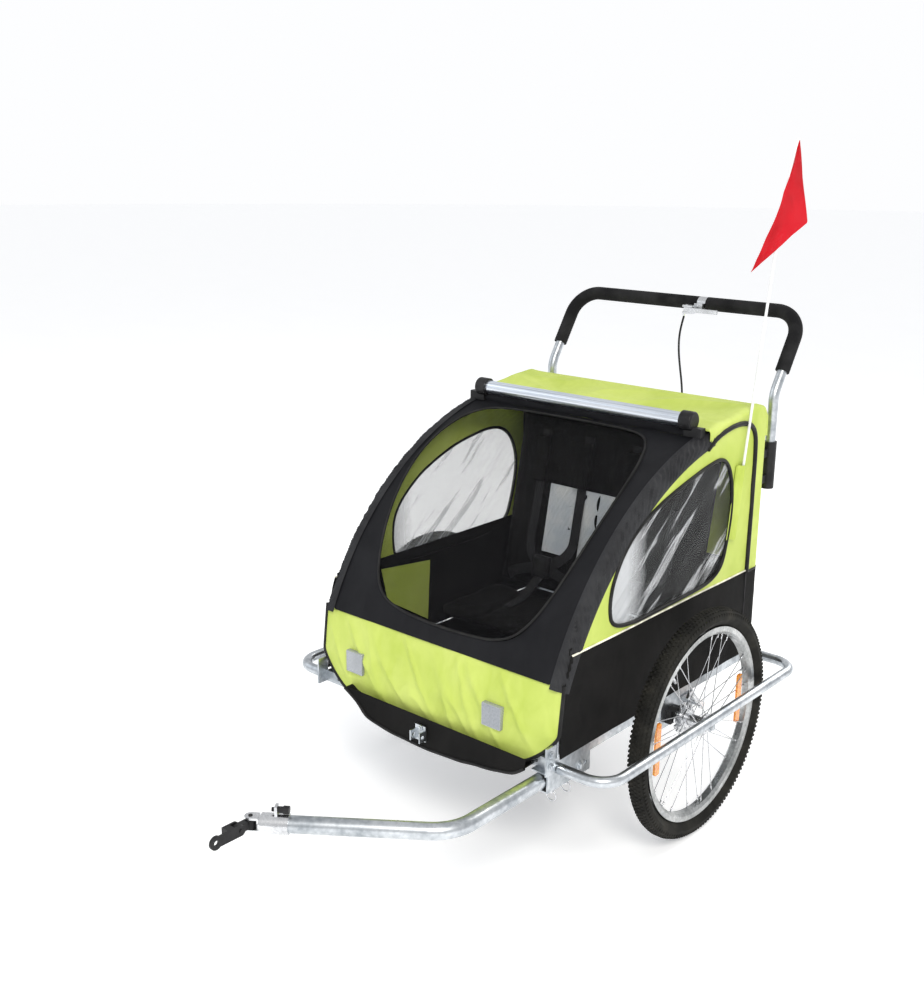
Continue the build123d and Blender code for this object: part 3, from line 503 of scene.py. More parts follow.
sheath = moulded("cable_sheath", (0.010, 0.010, 0.011), 0.32, 600.0, 0.0001)
cable_points = [
    (0.0173, 0.461, 1.0256), (0.0106, 0.461, 1.0005), (0.009, 0.457, 0.971), (0.015, 0.449, 0.940),
    (0.027, 0.439, 0.905), (0.042, 0.427, 0.868), (0.054, 0.414, 0.825), (0.059, 0.402, 0.778),
    (0.057, 0.391, 0.726), (0.051, 0.380, 0.664), (0.045, 0.371, 0.596), (0.043, 0.367, 0.524),
    (0.042, 0.366, 0.456), (0.040, 0.369, 0.390), (0.040, 0.376, 0.328), (0.041, 0.379, 0.276),
    (0.042, 0.358, 0.240), (0.042, 0.306, 0.226), (0.041, 0.242, 0.221), (0.040, 0.178, 0.219),
    (0.040, 0.122, 0.222),
]
cable = tube_along(
    "brake_cable_sheath", [from_axle(*point) for point in cable_points], 0.0025, None, sheath
)
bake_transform(cable)
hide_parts("brake_cable")
tube_along(
    "brake_wire", [from_axle(0.040, 0.124, 0.222), from_axle(0.040, 0.079, 0.222)], 0.0008, "trailer",
    spoke_steel, smooth=False,
)
for number, (x, y, z) in enumerate(((0.043, 0.367, 0.524), (0.041, 0.374, 0.300))):
    bpy.ops.object.select_all(action="DESELECT")
    bpy.ops.mesh.primitive_torus_add(
        major_segments=28, minor_segments=10, major_radius=0.0042, minor_radius=0.0014, location=from_axle(x, y, z)
    )
    clip = bpy.context.object
    clip.scale = (1, 1, 3)
    settle(clip)
    on_body(clip, f"cable_clip_{number + 1}", "trailer", black_plastic)


# ---- Cabin cloth: the lime sides ------------------------------------------------------------
# Coated polyester, sewn in panels and stretched over the frame. Each upright side is lime
# round a teardrop window, black below a cream piping line, and a little slack at its middle.
def cloth(name, colour, dark_dye_and_shade, roughness, thread=0.0011, slack=0.5, shine=0.15):
    """Woven polyester: fine crossed threads, soft creases and uneven dye, with painted shade that darkens the colour
    in the crease hollows.
    """
    material, tree, shader = new_material(name, colour, roughness, shine=shine)
    woven = coordinates(tree, "UV")
    threads = []
    for direction in ("X", "Y"):
        wave = tree.nodes.new("ShaderNodeTexWave")
        wave.bands_direction = direction
        wave.inputs["Scale"].default_value = pi / (10 * thread)
        tree.links.new(woven, wave.inputs["Vector"])
        threads.append(wave.outputs["Fac"])
    weave = mathed(tree, "MAXIMUM", *threads)
    spot = coordinates(tree)
    crease = noise_pattern(tree, coordinates(tree, scale=(1.0, 1.0, 0.55), turned=(0.4, 0.3, 0.5)), 22.0, 6.0, 1.4)
    dye = noise_pattern(tree, spot, 7.0, 5.0, 0.5)
    dye_and_crease_shade = mathed(tree, "ADD", mathed(tree, "MULTIPLY", dye, 0.7), mathed(tree, "MULTIPLY", crease, 0.3))
    # Colour runs to the darker one with uneven dye and, as painted shade, in the crease hollows the bump presses in.
    tree.links.new(ramp(tree, dye_and_crease_shade, (0.34, dark_dye_and_shade), (0.60, colour)), shader.inputs["Base Color"])
    height = mathed(tree, "ADD", mathed(tree, "MULTIPLY", weave, 0.06), mathed(tree, "MULTIPLY", crease, slack))
    bump(tree, shader, height, 0.004, 0.55)
    return material


# Each cloth's second colour is its darker end: uneven dye, and painted shade in its creases.
lime = cloth("lime_cloth", (0.57, 0.67, 0.155), (0.46, 0.57, 0.09), 0.55, shine=0.35)
black = cloth("black_cloth", (0.0105, 0.010, 0.0098), (0.0055, 0.0055, 0.0055), 0.68, shine=0.09)
piping = moulded("black_piping", (0.009, 0.009, 0.009), 0.45, 900.0, 0.0002)
cream = moulded("cream_piping", (0.62, 0.60, 0.50), 0.5, 900.0, 0.0002)
thread_black = moulded("black_thread", (0.020, 0.020, 0.022), 0.6)

side_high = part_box("left_side_panel")[1]
side_x = side_high.x
cabin_middle = from_axle(0, 0, 0.6)
cloth_thickness = 0.0012


def drift(*place):
    return noise.noise(Vector(place))


def cloth_sheet(name, place, across, along, size, inside=None, welded=False):
    """A cloth of across x along squares; place(u, v) says where each corner of it lies."""
    bpy.ops.object.select_all(action="DESELECT")
    bpy.ops.mesh.primitive_grid_add(x_subdivisions=across, y_subdivisions=along, size=1, calc_uvs=True)
    sheet = bpy.context.object
    sheet.name = name
    for vertex in sheet.data.vertices:
        vertex.co = place(vertex.co.x + 0.5, vertex.co.y + 0.5)
    for corner in sheet.data.uv_layers.active.data:
        corner.uv = (corner.uv.x * size[0], corner.uv.y * size[1])
    shape = bmesh.new()
    shape.from_mesh(sheet.data)
    if welded:
        bmesh.ops.remove_doubles(shape, verts=shape.verts, dist=0.0002)
    core = inside or cabin_middle
    facing = sum((face.calc_center_median() - core).dot(face.normal) * face.calc_area() for face in shape.faces)
    if facing < 0:
        bmesh.ops.reverse_faces(shape, faces=shape.faces)
    shape.to_mesh(sheet.data)
    shape.free()
    return sheet


def sewn(sheet, material, nodes=(), thickness=cloth_thickness):
    """Gives a cloth its thickness, finish and body, and hides the CAD nodes it stands for."""
    wall = sheet.modifiers.new("thickness", "SOLIDIFY")
    wall.thickness = thickness
    wall.offset = -1
    apply_modifiers(sheet)
    on_body(sheet, sheet.name, "trailer", material, 60)
    if nodes:
        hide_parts(*nodes)
    return sheet


def smooth_loop(corners, per_corner=14):
    """Points of a closed quadratic curve whose control points are the corners."""
    points = []
    for number, corner in enumerate(corners):
        before = (Vector(corners[number - 1]) + Vector(corner)) / 2
        after = (Vector(corner) + Vector(corners[(number + 1) % len(corners)])) / 2
        for step in range(per_corner):
            share = step / per_corner
            points.append((1 - share) ** 2 * before + 2 * share * (1 - share) * Vector(corner) + share**2 * after)
    return points


def reach(outline, centre, angle):
    """Where a ray from the centre meets an outline that goes round it."""
    way = Vector((cos(angle), sin(angle)))
    best = None
    for start, end in zip(outline, outline[1:] + outline[:1]):
        run, gap = end - start, start - centre
        cross = way.x * run.y - way.y * run.x
        if abs(cross) > 1e-12:
            out = (gap.x * run.y - gap.y * run.x) / cross
            share = (gap.x * way.y - gap.y * way.x) / cross
            if out > 0 and -1e-9 <= share <= 1 + 1e-9:
                best = out if best is None else max(best, out)
    return centre + way * best


edge_centre, edge_radius = Vector((0.2795, 0.0999)), 0.7514
lower_z = 0.5005
arch_y = 0.283
window_middle = Vector((0.0, 0.62))
window_loops = {
    "left": smooth_loop([
        (-0.240, 0.506), (-0.020, 0.509), (0.160, 0.512), (0.189, 0.600), (0.199, 0.705), (0.163, 0.790),
        (0.060, 0.773), (-0.060, 0.745), (-0.170, 0.705), (-0.236, 0.640), (-0.260, 0.565),
    ]),
    "right": smooth_loop([
        (-0.180, 0.484), (0.0, 0.484), (0.208, 0.484), (0.240, 0.560), (0.262, 0.670), (0.196, 0.760),
        (0.034, 0.738), (-0.060, 0.704), (-0.122, 0.673), (-0.188, 0.610), (-0.196, 0.540),
    ]),
}
rim_start = atan2(lower_z - edge_centre.y, -sqrt(edge_radius**2 - (lower_z - edge_centre.y) ** 2))
lime_outline = []
for step in range(31):
    angle = rim_start + (atan2(0.829 - edge_centre.y, 0.104 - edge_centre.x) - rim_start) * step / 30
    lime_outline.append(edge_centre + edge_radius * Vector((cos(angle), sin(angle))))
for y, z in (
    (0.160, 0.842), (0.216, 0.847), (0.256, 0.838), (arch_y - 0.002, 0.808), (arch_y, 0.790), (arch_y, lower_z)
):
    lime_outline.append(Vector((y, z)))


def side_sag(y, z):
    """How far the stretched side leans in or out of its own plane."""
    return 0.0016 * drift(y * 7, z * 7, 3.1) + 0.0010 * drift(y * 19 + z * 8, z * 14, 8.2)


def on_side(sign, y, z, out=0.0):
    return from_axle(sign * (side_x - 0.0022 + side_sag(y, z) + out), y, z)


for side, sign in (("left", 1), ("right", -1)):
    window_loop = window_loops[side]

    def lime_place(u, v):
        angle = 2 * pi * u
        inner = reach(window_loop, window_middle, angle)
        outer = reach(lime_outline, window_middle, angle)
        spot = inner.lerp(outer, v)
        return on_side(sign, spot.x, spot.y)

    panel = cloth_sheet(f"{side}_lime_side", lime_place, 220, 16, (1.6, 0.12), welded=True)
    sewn(panel, lime, [f"{side}_side_panel"])

    def lower_place(u, v):
        z = 0.297 + (lower_z - 0.297) * v
        front = -0.400 + 0.026 * v**3
        y = front + (0.331 - front) * u
        belly = 0.0035 * sin(pi * v) * sin(pi * u)
        return on_side(sign, y, z, belly + 0.0012 * drift(y * 16, z * 22, 4.0))

    lower = cloth_sheet(f"{side}_lower_side", lower_place, 90, 26, (0.73, 0.19))
    sewn(lower, black)
    outline = [on_side(sign, spot.x, spot.y, 0.0008) for spot in window_loop[::3]]
    tube_along(f"{side}_window_piping", outline, 0.0042, "trailer", piping, cyclic=True)
    line = [on_side(sign, -0.372 + 0.655 * share / 12, lower_z, 0.0012) for share in range(13)]
    tube_along(f"{side}_cream_piping", line, 0.0021, "trailer", cream)
    arch = [
        on_side(sign, y, z, 0.001)
        for y, z in (
            (0.080, 0.814), (0.098, 0.826), (0.130, 0.838), (0.175, 0.847), (0.216, 0.848), (0.256, 0.840), (0.279, 0.815),
            (0.2835, 0.770), (0.2835, 0.680), (0.2835, 0.590), (0.2835, 0.496),
        )
    ]
    tube_along(f"{side}_arch_piping", arch, 0.0058, "trailer", piping)
    seam = [on_side(sign, 0.2835, 0.498 - 0.19 * share / 5, 0.0006) for share in range(6)]
    tube_along(f"{side}_lower_seam", seam, 0.0016, "trailer", thread_black)


# ---- Side windows --------------------------------------------------------------------------------
# Clear soft film sewn into each side. It is wavy. The long bright streaks where its slack
# catches light, running up towards the back, are painted highlights: the film is made pale and
# opaque along them. Its front part is painted paler as glare, and the far window's film is made
# denser as painted shade.
film, tree, shader = new_material("clear_film", (0.84, 0.87, 0.90), 0.12)
spot = coordinates(tree, turned=(radians(-40), 0, 0))
stretch = tree.nodes.new("ShaderNodeMapping")
stretch.inputs["Scale"].default_value = (1.0, 0.8, 8.0)
tree.links.new(spot, stretch.inputs["Vector"])
long_streak = noise_pattern(tree, stretch.outputs["Vector"], 4.2, 2.0, 0.25)
fine_streak = noise_pattern(tree, stretch.outputs["Vector"], 11.0, 3.0, 0.2)
streaks = mathed(
    tree, "ADD", mathed(tree, "MULTIPLY", long_streak, 0.70), mathed(tree, "MULTIPLY", fine_streak, 0.30)
)
# Painted highlights: the film turns pale and opaque along the streaks where light would catch it.
painted_streak_highlights = ramp(tree, streaks, (0.42, (0.02,)), (0.545, (0.03,)), (0.60, (0.36,)), (0.63, (0.12,)), (0.72, (0.03,)))
parts = tree.nodes.new("ShaderNodeSeparateXYZ")
tree.links.new(coordinates(tree), parts.inputs["Vector"])
# Painted glare: the front part of each window is made paler and more opaque.
forward_share = mathed(tree, "MULTIPLY", mathed(tree, "SUBTRACT", axle_y - 0.125, parts.outputs["Y"]), 14.0)
painted_front_glare = mathed(tree, "MULTIPLY", mathed(tree, "MINIMUM", mathed(tree, "MAXIMUM", forward_share, 0.0), 1.0), 0.42)
# Painted shade: the far window's film is made denser.
far_window_painted_shade = mathed(tree, "MULTIPLY", mathed(tree, "LESS_THAN", parts.outputs["X"], 0.0), 0.13)
tree.links.new(mathed(tree, "ADD", mathed(tree, "MAXIMUM", painted_streak_highlights, painted_front_glare), far_window_painted_shade), shader.inputs["Alpha"])
bump(tree, shader, streaks, 0.012, 0.6)
shader.inputs["Coat Weight"].default_value = 1.0
shader.inputs["Coat Roughness"].default_value = 0.04
for side, sign in (("left", 1), ("right", -1)):
    def film_place(u, v):
        edge = reach(window_loops[side], window_middle, 2 * pi * u)
        spot = window_middle.lerp(edge, v)
        along = (spot.x + spot.y) * 0.7071
        across = (spot.y - spot.x) * 0.7071
        ripple = 0.0030 * drift(across * 34, along * 6, 1.7) * (1 - v**4) - 0.0016
        return on_side(sign, spot.x, spot.y, ripple)

    window = cloth_sheet(f"{side}_window", film_place, 160, 36, (1.2, 0.2), welded=True)
    sewn(
        window, film,
        ["side_windows"] if side == "left" else (), 0.0004
    )


# ---- Front cover, insect screen and gathered bands --------------------------------------------------
# A navy-black cover bends round the front of the cabin, with a large opening behind a fine
# black net. Gathered bands of brown-black cloth join it to the sides over the frame's arcs.
round_centre, round_radius = Vector((0.2233, 0.1759)), 0.6800
navy = cloth("navy_cloth", (0.0105, 0.0108, 0.013), (0.0055, 0.0057, 0.0075), 0.62, shine=0.15)
band_cloth = cloth("gathered_band", (0.030, 0.031, 0.034), (0.010, 0.010, 0.012), 0.62, shine=0.25)


def on_round(x, lift_angle, out=0.0):
    """A point on the cabin's round front, at a height angle in radians above the level."""
    radius = round_radius + out
    return from_axle(x, round_centre.x - radius * cos(lift_angle), round_centre.y + radius * sin(lift_angle))


crease_x = 0.300
cover_foot, cover_head = radians(23.1), radians(77.2)
net_corners = [
    (0.190, 27.5), (0.236, 36.0), (0.252, 45.0), (0.258, 55.0), (0.248, 65.0), (0.212, 73.5), (0.150, 75.6),
    (0.0, 75.6), (-0.180, 75.6), (-0.262, 73.4), (-0.286, 62.0), (-0.276, 53.0), (-0.256, 44.0),
    (-0.214, 32.6), (-0.170, 27.3), (-0.05, 26.2), (0.09, 26.3),
]
arc_scale = round_radius
net_loop = smooth_loop([(x, radians(angle) * arc_scale) for x, angle in net_corners], 8)
net_middle = Vector((0, radians(52) * arc_scale))
cover_outline = [
    Vector((crease_x, cover_foot * arc_scale)), Vector((crease_x, cover_head * arc_scale)),
    Vector((-crease_x, cover_head * arc_scale)), Vector((-crease_x, cover_foot * arc_scale)),
]


def cover_place(u, v):
    angle = 2 * pi * u
    inner = reach(net_loop, net_middle, angle)
    outer = reach(cover_outline, net_middle, angle)
    spot = inner.lerp(outer, v)
    lift = spot.y / arc_scale
    soft = 0.0018 * drift(spot.x * 11, lift * 9, 2.0) + 0.0010 * drift(spot.x * 26, lift * 22, 5.0)
    return on_round(spot.x, lift, soft - 0.0015)


cover = cloth_sheet("front_cover_frame", cover_place, 260, 14, (2.0, 0.08), welded=True)
sewn(cover, navy, ["front_cover"])
rim_line = [on_round(spot.x, spot.y / arc_scale, 0.0004) for spot in net_loop[::4]]
tube_along("cover_opening_binding", rim_line, 0.0026, "trailer", piping, cyclic=True)

def head_place(u, v):
    x = crease_x * (2 * u - 1)
    return from_axle(x, 0.0715 - 0.003 * v + 0.002 * drift(x * 18, v * 2, 3.0), 0.838 + 0.019 * v)


head = cloth_sheet("cover_head_hem", head_place, 90, 4, (0.60, 0.02))
sewn(head, navy)

net_thread = 0.0016
net, tree, shader = new_material("insect_net", (0.012, 0.012, 0.014), 0.6, shine=0.1)
woven = coordinates(tree, "UV")
holes = []
for direction in ("X", "Y"):
    wave = tree.nodes.new("ShaderNodeTexWave")
    wave.bands_direction = direction
    wave.inputs["Scale"].default_value = pi / (10 * net_thread)
    tree.links.new(woven, wave.inputs["Vector"])
    holes.append(wave.outputs["Fac"])
yarn = mathed(tree, "MAXIMUM", *holes)
tree.links.new(ramp(tree, yarn, (0.72, (0.01,)), (0.93, (0.42,))), shader.inputs["Alpha"])


def net_place(u, v):
    edge = reach(net_loop, net_middle, 2 * pi * u)
    spot = net_middle.lerp(edge, v)
    return on_round(
        spot.x, spot.y / arc_scale, -0.003 - 0.006 * (1 - v**2) + 0.001 * drift(spot.x * 8, spot.y * 8, 9.0)
    )


def flat_uv(sheet, width_axis, height_axis):
    """Lays the threads straight on a cloth that was made round a middle point."""
    layer = sheet.data.uv_layers.active.data
    for loop in sheet.data.loops:
        co = sheet.data.vertices[loop.vertex_index].co
        layer[loop.index].uv = (co[width_axis], co[height_axis])


screen = cloth_sheet("insect_screen", net_place, 180, 24, (1.5, 0.4), welded=True)
flat_uv(screen, 0, 2)
sewn(screen, net, (), 0.0003)

for side, sign in (("left", 1), ("right", -1)):
    def band_place(u, v):
        """u goes round from the front crease to the side's edge, v up from the panel to the bar."""
        lift = cover_foot - radians(0.6) + (cover_head + radians(3.2) - cover_foot) * v
        turned = u * pi / 2
        fall = 0.0245 * (1 - cos(turned)) + 0.004 * u - 0.0008
        x = crease_x - 0.006 + 0.0279 * sin(turned)
        gather = v * 40 + 4.2 * u + 1.1 * drift(v * 9, u * 2, 6.0 + sign)
        loose = max(sin(pi * u), 0) ** 0.6
        pucker = 0.0034 * (1 - abs(2 * (gather % 1) - 1)) ** 1.5 * loose
        pucker += (0.0034 + 0.0022 * drift(v * 26 + u * 5, u * 4, 2.2 + sign)) * loose
        arc_spot = on_round(0, lift, pucker - fall)
        return Vector((sign * (x + 0.6 * pucker), arc_spot.y, arc_spot.z))

    band = cloth_sheet(f"{side}_gathered_band", band_place, 16, 420, (0.06, 0.64))
    sewn(band, band_cloth)


# ---- Front panel, its reflectors and the belly ---------------------------------------------------
# A lime panel hangs from the cover's lower edge to the base frame, and falls in soft
# slanting folds. A black belly sags under the children's feet, with a piped lower edge.
panel_low, panel_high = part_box("front_panel")
panel_half = panel_high.x + 0.003
foot_half = panel_half - 0.078
corner_share = 0.40
panel_top = 0.4475


def front_half(v):
    """Half the front panel's width at a share of its height: its lower corners are cut round."""
    if v >= corner_share:
        return panel_half
    drop_share = 1 - v / corner_share
    return panel_half - (panel_half - foot_half) * (0.72 * drop_share + 0.28 * drop_share**3)


def front_place(u, v):
    x = front_half(v) * (2 * u - 1)
    z = panel_low.z + (panel_top - panel_low.z) * v
    base = panel_low.y + 0.0005 + (panel_high.y - 0.003 - panel_low.y) * v
    slanted = x * 17 - (1 - v) * 1.9
    fold = (1 - abs(drift(slanted, v * 0.7, 1.3))) ** 6
    swell = sin(pi * min(max(v, 0), 1)) ** 0.7 * (1 - (2 * u - 1) ** 6)
    out = 0.008 * swell + 0.0078 * fold * swell + 0.0026 * drift(x * 30, v * 6, 7.0) * swell
    return Vector((x, base - out + 0.004, z))


front = cloth_sheet("lime_front_panel", front_place, 150, 44, (0.64, 0.18))
sewn(front, lime, ["front_panel"])


edge_line = [front_place(1, v / 12) for v in range(12, -1, -1)] + [front_place(1 - u / 16, 0) for u in range(1, 16)]
edge_line += [front_place(0, v / 12) for v in range(13)]
tube_along("front_edge_piping", edge_line, 0.0036, "trailer", piping)

silver, tree, shader = new_material("silver_reflector", (0.78, 0.80, 0.84), 0.18)
spot = coordinates(tree)
facets = tree.nodes.new("ShaderNodeTexVoronoi")
facets.distance = "CHEBYCHEV"
facets.inputs["Scale"].default_value = 300.0
facets.inputs["Randomness"].default_value = 0.15
tree.links.new(spot, facets.inputs["Vector"])
tree.links.new(
    ramp(
        tree, facets.outputs["Distance"], (0.15, (0.50, 0.52, 0.54)), (0.55, (0.26, 0.28, 0.31))
    ), shader.inputs["Base Color"]
)
bump(tree, shader, facets.outputs["Distance"], 0.0012, 0.8)
shader.inputs["Metallic"].default_value = 0.35
reflector_low, reflector_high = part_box("front_reflectors")
reflector_z = (reflector_low.z + reflector_high.z) / 2
reflector_v = (reflector_z - panel_low.z) / (panel_top - panel_low.z)
for number, x in enumerate((reflector_low.x + 0.024, reflector_high.x - 0.024)):
    share = (x / front_half(reflector_v) + 1) / 2
    middle = front_place(share, reflector_v)
    bpy.ops.object.select_all(action="DESELECT")
    bpy.ops.mesh.primitive_cube_add(size=1, location=middle + Vector((0, -0.0045, 0)), scale=(0.048, 0.012, 0.048))
    patch = bpy.context.object
    settle(patch)
    shape = bmesh.new()
    shape.from_mesh(patch.data)
    front_face = [face for face in shape.faces if face.normal.y < -0.9]
    bmesh.ops.inset_region(shape, faces=front_face, thickness=0.0035, depth=-0.0012)
    shape.to_mesh(patch.data)
    shape.free()
    bevel = patch.modifiers.new("edge", "BEVEL")
    bevel.width = 0.0012
    bevel.segments = 2
    apply_modifiers(patch)
    on_body(patch, f"front_reflector_{number + 1}", "trailer", silver)
    if number == 0:
        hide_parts("front_reflectors")

belly_low, belly_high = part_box("belly_panel")
belly_edge = [
    (-0.226, 0.2905), (-0.205, 0.280), (-0.152, 0.240), (-0.080, 0.231), (0.010, 0.228), (0.090, 0.232),
    (0.160, 0.241), (0.236, 0.252), (0.266, 0.274),
]


def belly_height(x):
    for (x0, z0), (x1, z1) in zip(belly_edge, belly_edge[1:]):
        if x <= x1:
            share = max(0, min(1, (x - x0) / (x1 - x0)))
            share = share * share * (3 - 2 * share)
            return z0 + (z1 - z0) * share
    return belly_edge[-1][1]


def belly_place(u, v):
    """v goes down the belly's front, under it and up its back."""
    x = belly_edge[0][0] + (belly_edge[-1][0] - belly_edge[0][0]) * u
    low = belly_height(x)
    top = 0.292
    front_y, back_y = belly_low.y + 0.001, belly_high.y - 0.001
    sag = 0.003 * drift(x * 14, v * 7, 2.0)
    if v < 0.22:
        share = v / 0.22
        return Vector((x, front_y + 0.004 * (1 - share), top + (low - top) * share))
    if v < 0.80:
        share = (v - 0.22) / 0.58
        return Vector((x, front_y + (back_y - front_y) * share, low + sag * sin(pi * share) + 0.006 * share))
    share = (v - 0.80) / 0.20
    return Vector((x, back_y, low + 0.006 + (top - low - 0.006) * share))


belly = cloth_sheet("belly_sling", belly_place, 80, 60, (0.52, 0.40), inside=Vector((0, belly_low.y + 0.13, 0.29)))
sewn(belly, black, ["belly_panel"])
tube_along(
    "belly_edge_piping", [belly_place(share / 24, 0.22) for share in range(25)], 0.0032, "trailer",
    piping
)
nose_low, nose_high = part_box("nose_wheel_bracket")
hex_bolt(
    "nose_bracket_bolt", ((nose_low.x + nose_high.x) / 2, nose_high.y - 0.0032, nose_high.z - 0.005), (0, -1, 0),
    0.0042, 0.003, "trailer"
)


# ---- Roof ----------------------------------------------------------------------------------------------
# One lime sheet from the front bar to the back, slack between the frame's tubes so that it
# sags in long soft folds, with its edges turned down over the sides to the black arch.
roof_profile = [
    Vector(point) for point in (
        (0.086, 0.855), (0.130, 0.8605), (0.190, 0.8675), (0.250, 0.874), (0.296, 0.8772), (0.320, 0.871),
        (0.3325, 0.853), (0.333, 0.832)
    )
]


def along_profile(points, share):
    """A point at a share of the way along an open line of points."""
    reach_at = share * (len(points) - 1)
    number = min(int(reach_at), len(points) - 2)
    part = reach_at - number
    return points[number].lerp(points[number + 1], part)


def arch_height(y):
    """Height of the black arch piping under the roof's edge."""
    line = (
        (0.086, 0.824), (0.130, 0.838), (0.175, 0.847), (0.216, 0.848), (0.256, 0.840), (0.284, 0.812),
        (0.34, 0.800)
    )
    for (y0, z0), (y1, z1) in zip(line, line[1:]):
        if y <= y1:
            return z0 + (z1 - z0) * (y - y0) / (y1 - y0)
    return line[-1][1]


def roof_place(u, v):
    """u goes from side to side and down over both edges, v from front to back."""
    point = along_profile(roof_profile, v)
    across = 2 * u - 1
    side = 1 if across > 0 else -1
    top_share = 0.88
    half = side_x - 0.012
    middle = 1 - min(abs(across) / top_share, 1) ** 2
    fore = sin(pi * min(v / 0.72, 1))
    x = half * across / top_share
    fold = (1 - abs(drift(x * 5 + v * 2.2, v * 5.0 - x * 3.0, 0.7))) ** 3
    sag = -0.019 * middle * fore + 0.009 * (fold - 0.35) * fore * (0.35 + middle)
    sag += 0.002 * drift(x * 14, v * 9, 3.0) * fore
    if abs(across) <= top_share:
        return from_axle(x, point.x, point.y + sag)
    over = (abs(across) - top_share) / (1 - top_share)
    low = arch_height(point.x)
    turn_over = min(over / 0.4, 1) * pi / 2
    drop_start = point.y - 0.010
    if over < 0.4:
        return from_axle(side * (half + 0.0112 * sin(turn_over)), point.x, point.y - 0.010 * (1 - cos(turn_over)))
    share = (over - 0.4) / 0.6
    return from_axle(
        side * (half + 0.0112 + 0.0008 * drift(v * 20, share * 3, 5.0)), point.x,
        drop_start + (min(low, drop_start) - drop_start) * share
    )


roof = cloth_sheet("lime_roof", roof_place, 150, 60, (0.72, 0.30))
sewn(roof, lime, ["roof"])
tube_along(
    "roof_front_hem", [roof_place(share / 20, 0.0) for share in range(1, 20)], 0.0026, "trailer",
    lime
)


# ---- Back ------------------------------------------------------------------------------------------------
# The back is lime above and black below, wraps round the rear corners to the arch piping,
# and carries a black net vent and a wide pocket with a bound edge.
back_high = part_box("back_panel")[1]
back_y = back_high.y - axle_y
corner_round = 0.011


def round_back(across, z, out=0.0):
    """across runs from -1 to 1, from one side's arch piping round the back to the other's."""
    side = 1 if across > 0 else -1
    wing = back_y - corner_round - arch_y
    bend = corner_round * pi / 2
    half = side_x - corner_round - 0.001
    run = abs(across) * (half + bend + wing)
    loose = 0.0012 * drift(across * 9, z * 12, 6.0)
    if run <= half:
        return from_axle(side * run, back_y - 0.0005 + out + loose, z)
    if run <= half + bend:
        angle = (run - half) / corner_round
        return from_axle(
            side * (
                half + (corner_round + out) * sin(angle)
            ), back_y - corner_round - 0.0005 + (corner_round + out) * cos(angle), z
        )
    return from_axle(side * (side_x - 0.001 + out + loose), back_y - corner_round - (run - half - bend), z)


def back_upper_place(u, v):
    z = lower_z - 0.006 + (0.834 - lower_z + 0.006) * v
    return round_back(2 * u - 1, z, 0.0)


def back_lower_place(u, v):
    return round_back(2 * u - 1, 0.297 + (lower_z - 0.297) * v, -0.0006)


upper = cloth_sheet("lime_back", back_upper_place, 150, 40, (0.74, 0.34))
sewn(upper, lime, ["back_panel"])
lower = cloth_sheet("lower_back", back_lower_place, 150, 24, (0.74, 0.19))
sewn(lower, black)
tube_along(
    "back_seam_piping", [round_back(share / 16 - 1, lower_z - 0.004, 0.0012) for share in range(33)], 0.0026,
    "trailer", piping
)
tube_along(
    "back_top_piping", [round_back(0.86 * (share / 16 - 1), 0.836, 0.0012) for share in range(33)], 0.0028,
    "trailer", piping
)

vent_loop = smooth_loop([(-0.20, 0.70), (-0.20, 0.80), (0.0, 0.812), (0.20, 0.80), (0.20, 0.70), (0.0, 0.692)], 8)
vent_middle = Vector((0, 0.752))
half_run = side_x - corner_round - 0.001 + corner_round * pi / 2 + back_y - corner_round - arch_y


def vent_place(u, v):
    spot = vent_middle.lerp(reach(vent_loop, vent_middle, 2 * pi * u), v)
    return round_back(spot.x / half_run, spot.y, 0.0016)


vent_net = cloth("vent_net", (0.022, 0.022, 0.024), (0.010, 0.010, 0.011), 0.7, thread=0.003, slack=0.2)
vent = cloth_sheet("back_vent", vent_place, 96, 10, (0.9, 0.1), welded=True)
flat_uv(vent, 0, 2)
sewn(vent, vent_net, (), 0.0006)
tube_along(
    "back_vent_binding", [round_back(spot.x / half_run, spot.y, 0.0022) for spot in vent_loop[::3]], 0.0028,
    "trailer", piping, cyclic=True
)


def pocket_place(u, v):
    x = 0.46 * (u - 0.5)
    z = 0.325 + 0.150 * v
    puff = 0.006 * sin(pi * u) ** 0.6 * (0.35 + 0.65 * sin(pi * min(v * 0.9 + 0.1, 1)))
    return from_axle(x, back_y + 0.0012 + puff + 0.0014 * drift(x * 16, z * 16, 2.0), z)


pocket = cloth_sheet("back_pocket", pocket_place, 70, 26, (0.46, 0.15))
sewn(pocket, black)
tube_along(
    "back_pocket_binding", [pocket_place(share / 16, 1) for share in range(17)], 0.0026, "trailer",
    piping
)


# ---- Inside of the cabin ---------------------------------------------------------------------------------
# A black floor sheet, black lining above the seat back, and lime gussets in the front lower
# corners, which show through the screen with the black binding above them.
floor_low, floor_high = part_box("floor_panel")


def floor_place(u, v):
    x = (floor_high.x - 0.002) * (2 * u - 1)
    y = floor_low.y + 0.002 + (floor_high.y - floor_low.y - 0.004) * v
    return Vector(
        (x, y, floor_high.z - 0.0005 - 0.004 * sin(pi * u) * sin(pi * v) + 0.001 * drift(x * 12, y * 12, 3.0))
    )


base = cloth_sheet("floor_sheet", floor_place, 70, 50, (0.60, 0.48), inside=Vector((0, axle_y, 0.1)))
sewn(
    base, black,
    ["floor_panel"]
)
back_rest_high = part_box("backrest")[1]


def lining_place(u, v):
    x = (side_x - 0.022) * (2 * u - 1)
    y = back_rest_high.y - axle_y - 0.006 + 0.014 * v
    return from_axle(
        x, y + 0.004 * drift(x * 9, v * 2, 1.0), back_rest_high.z - 0.012 + (0.850 - back_rest_high.z + 0.012) * v
    )


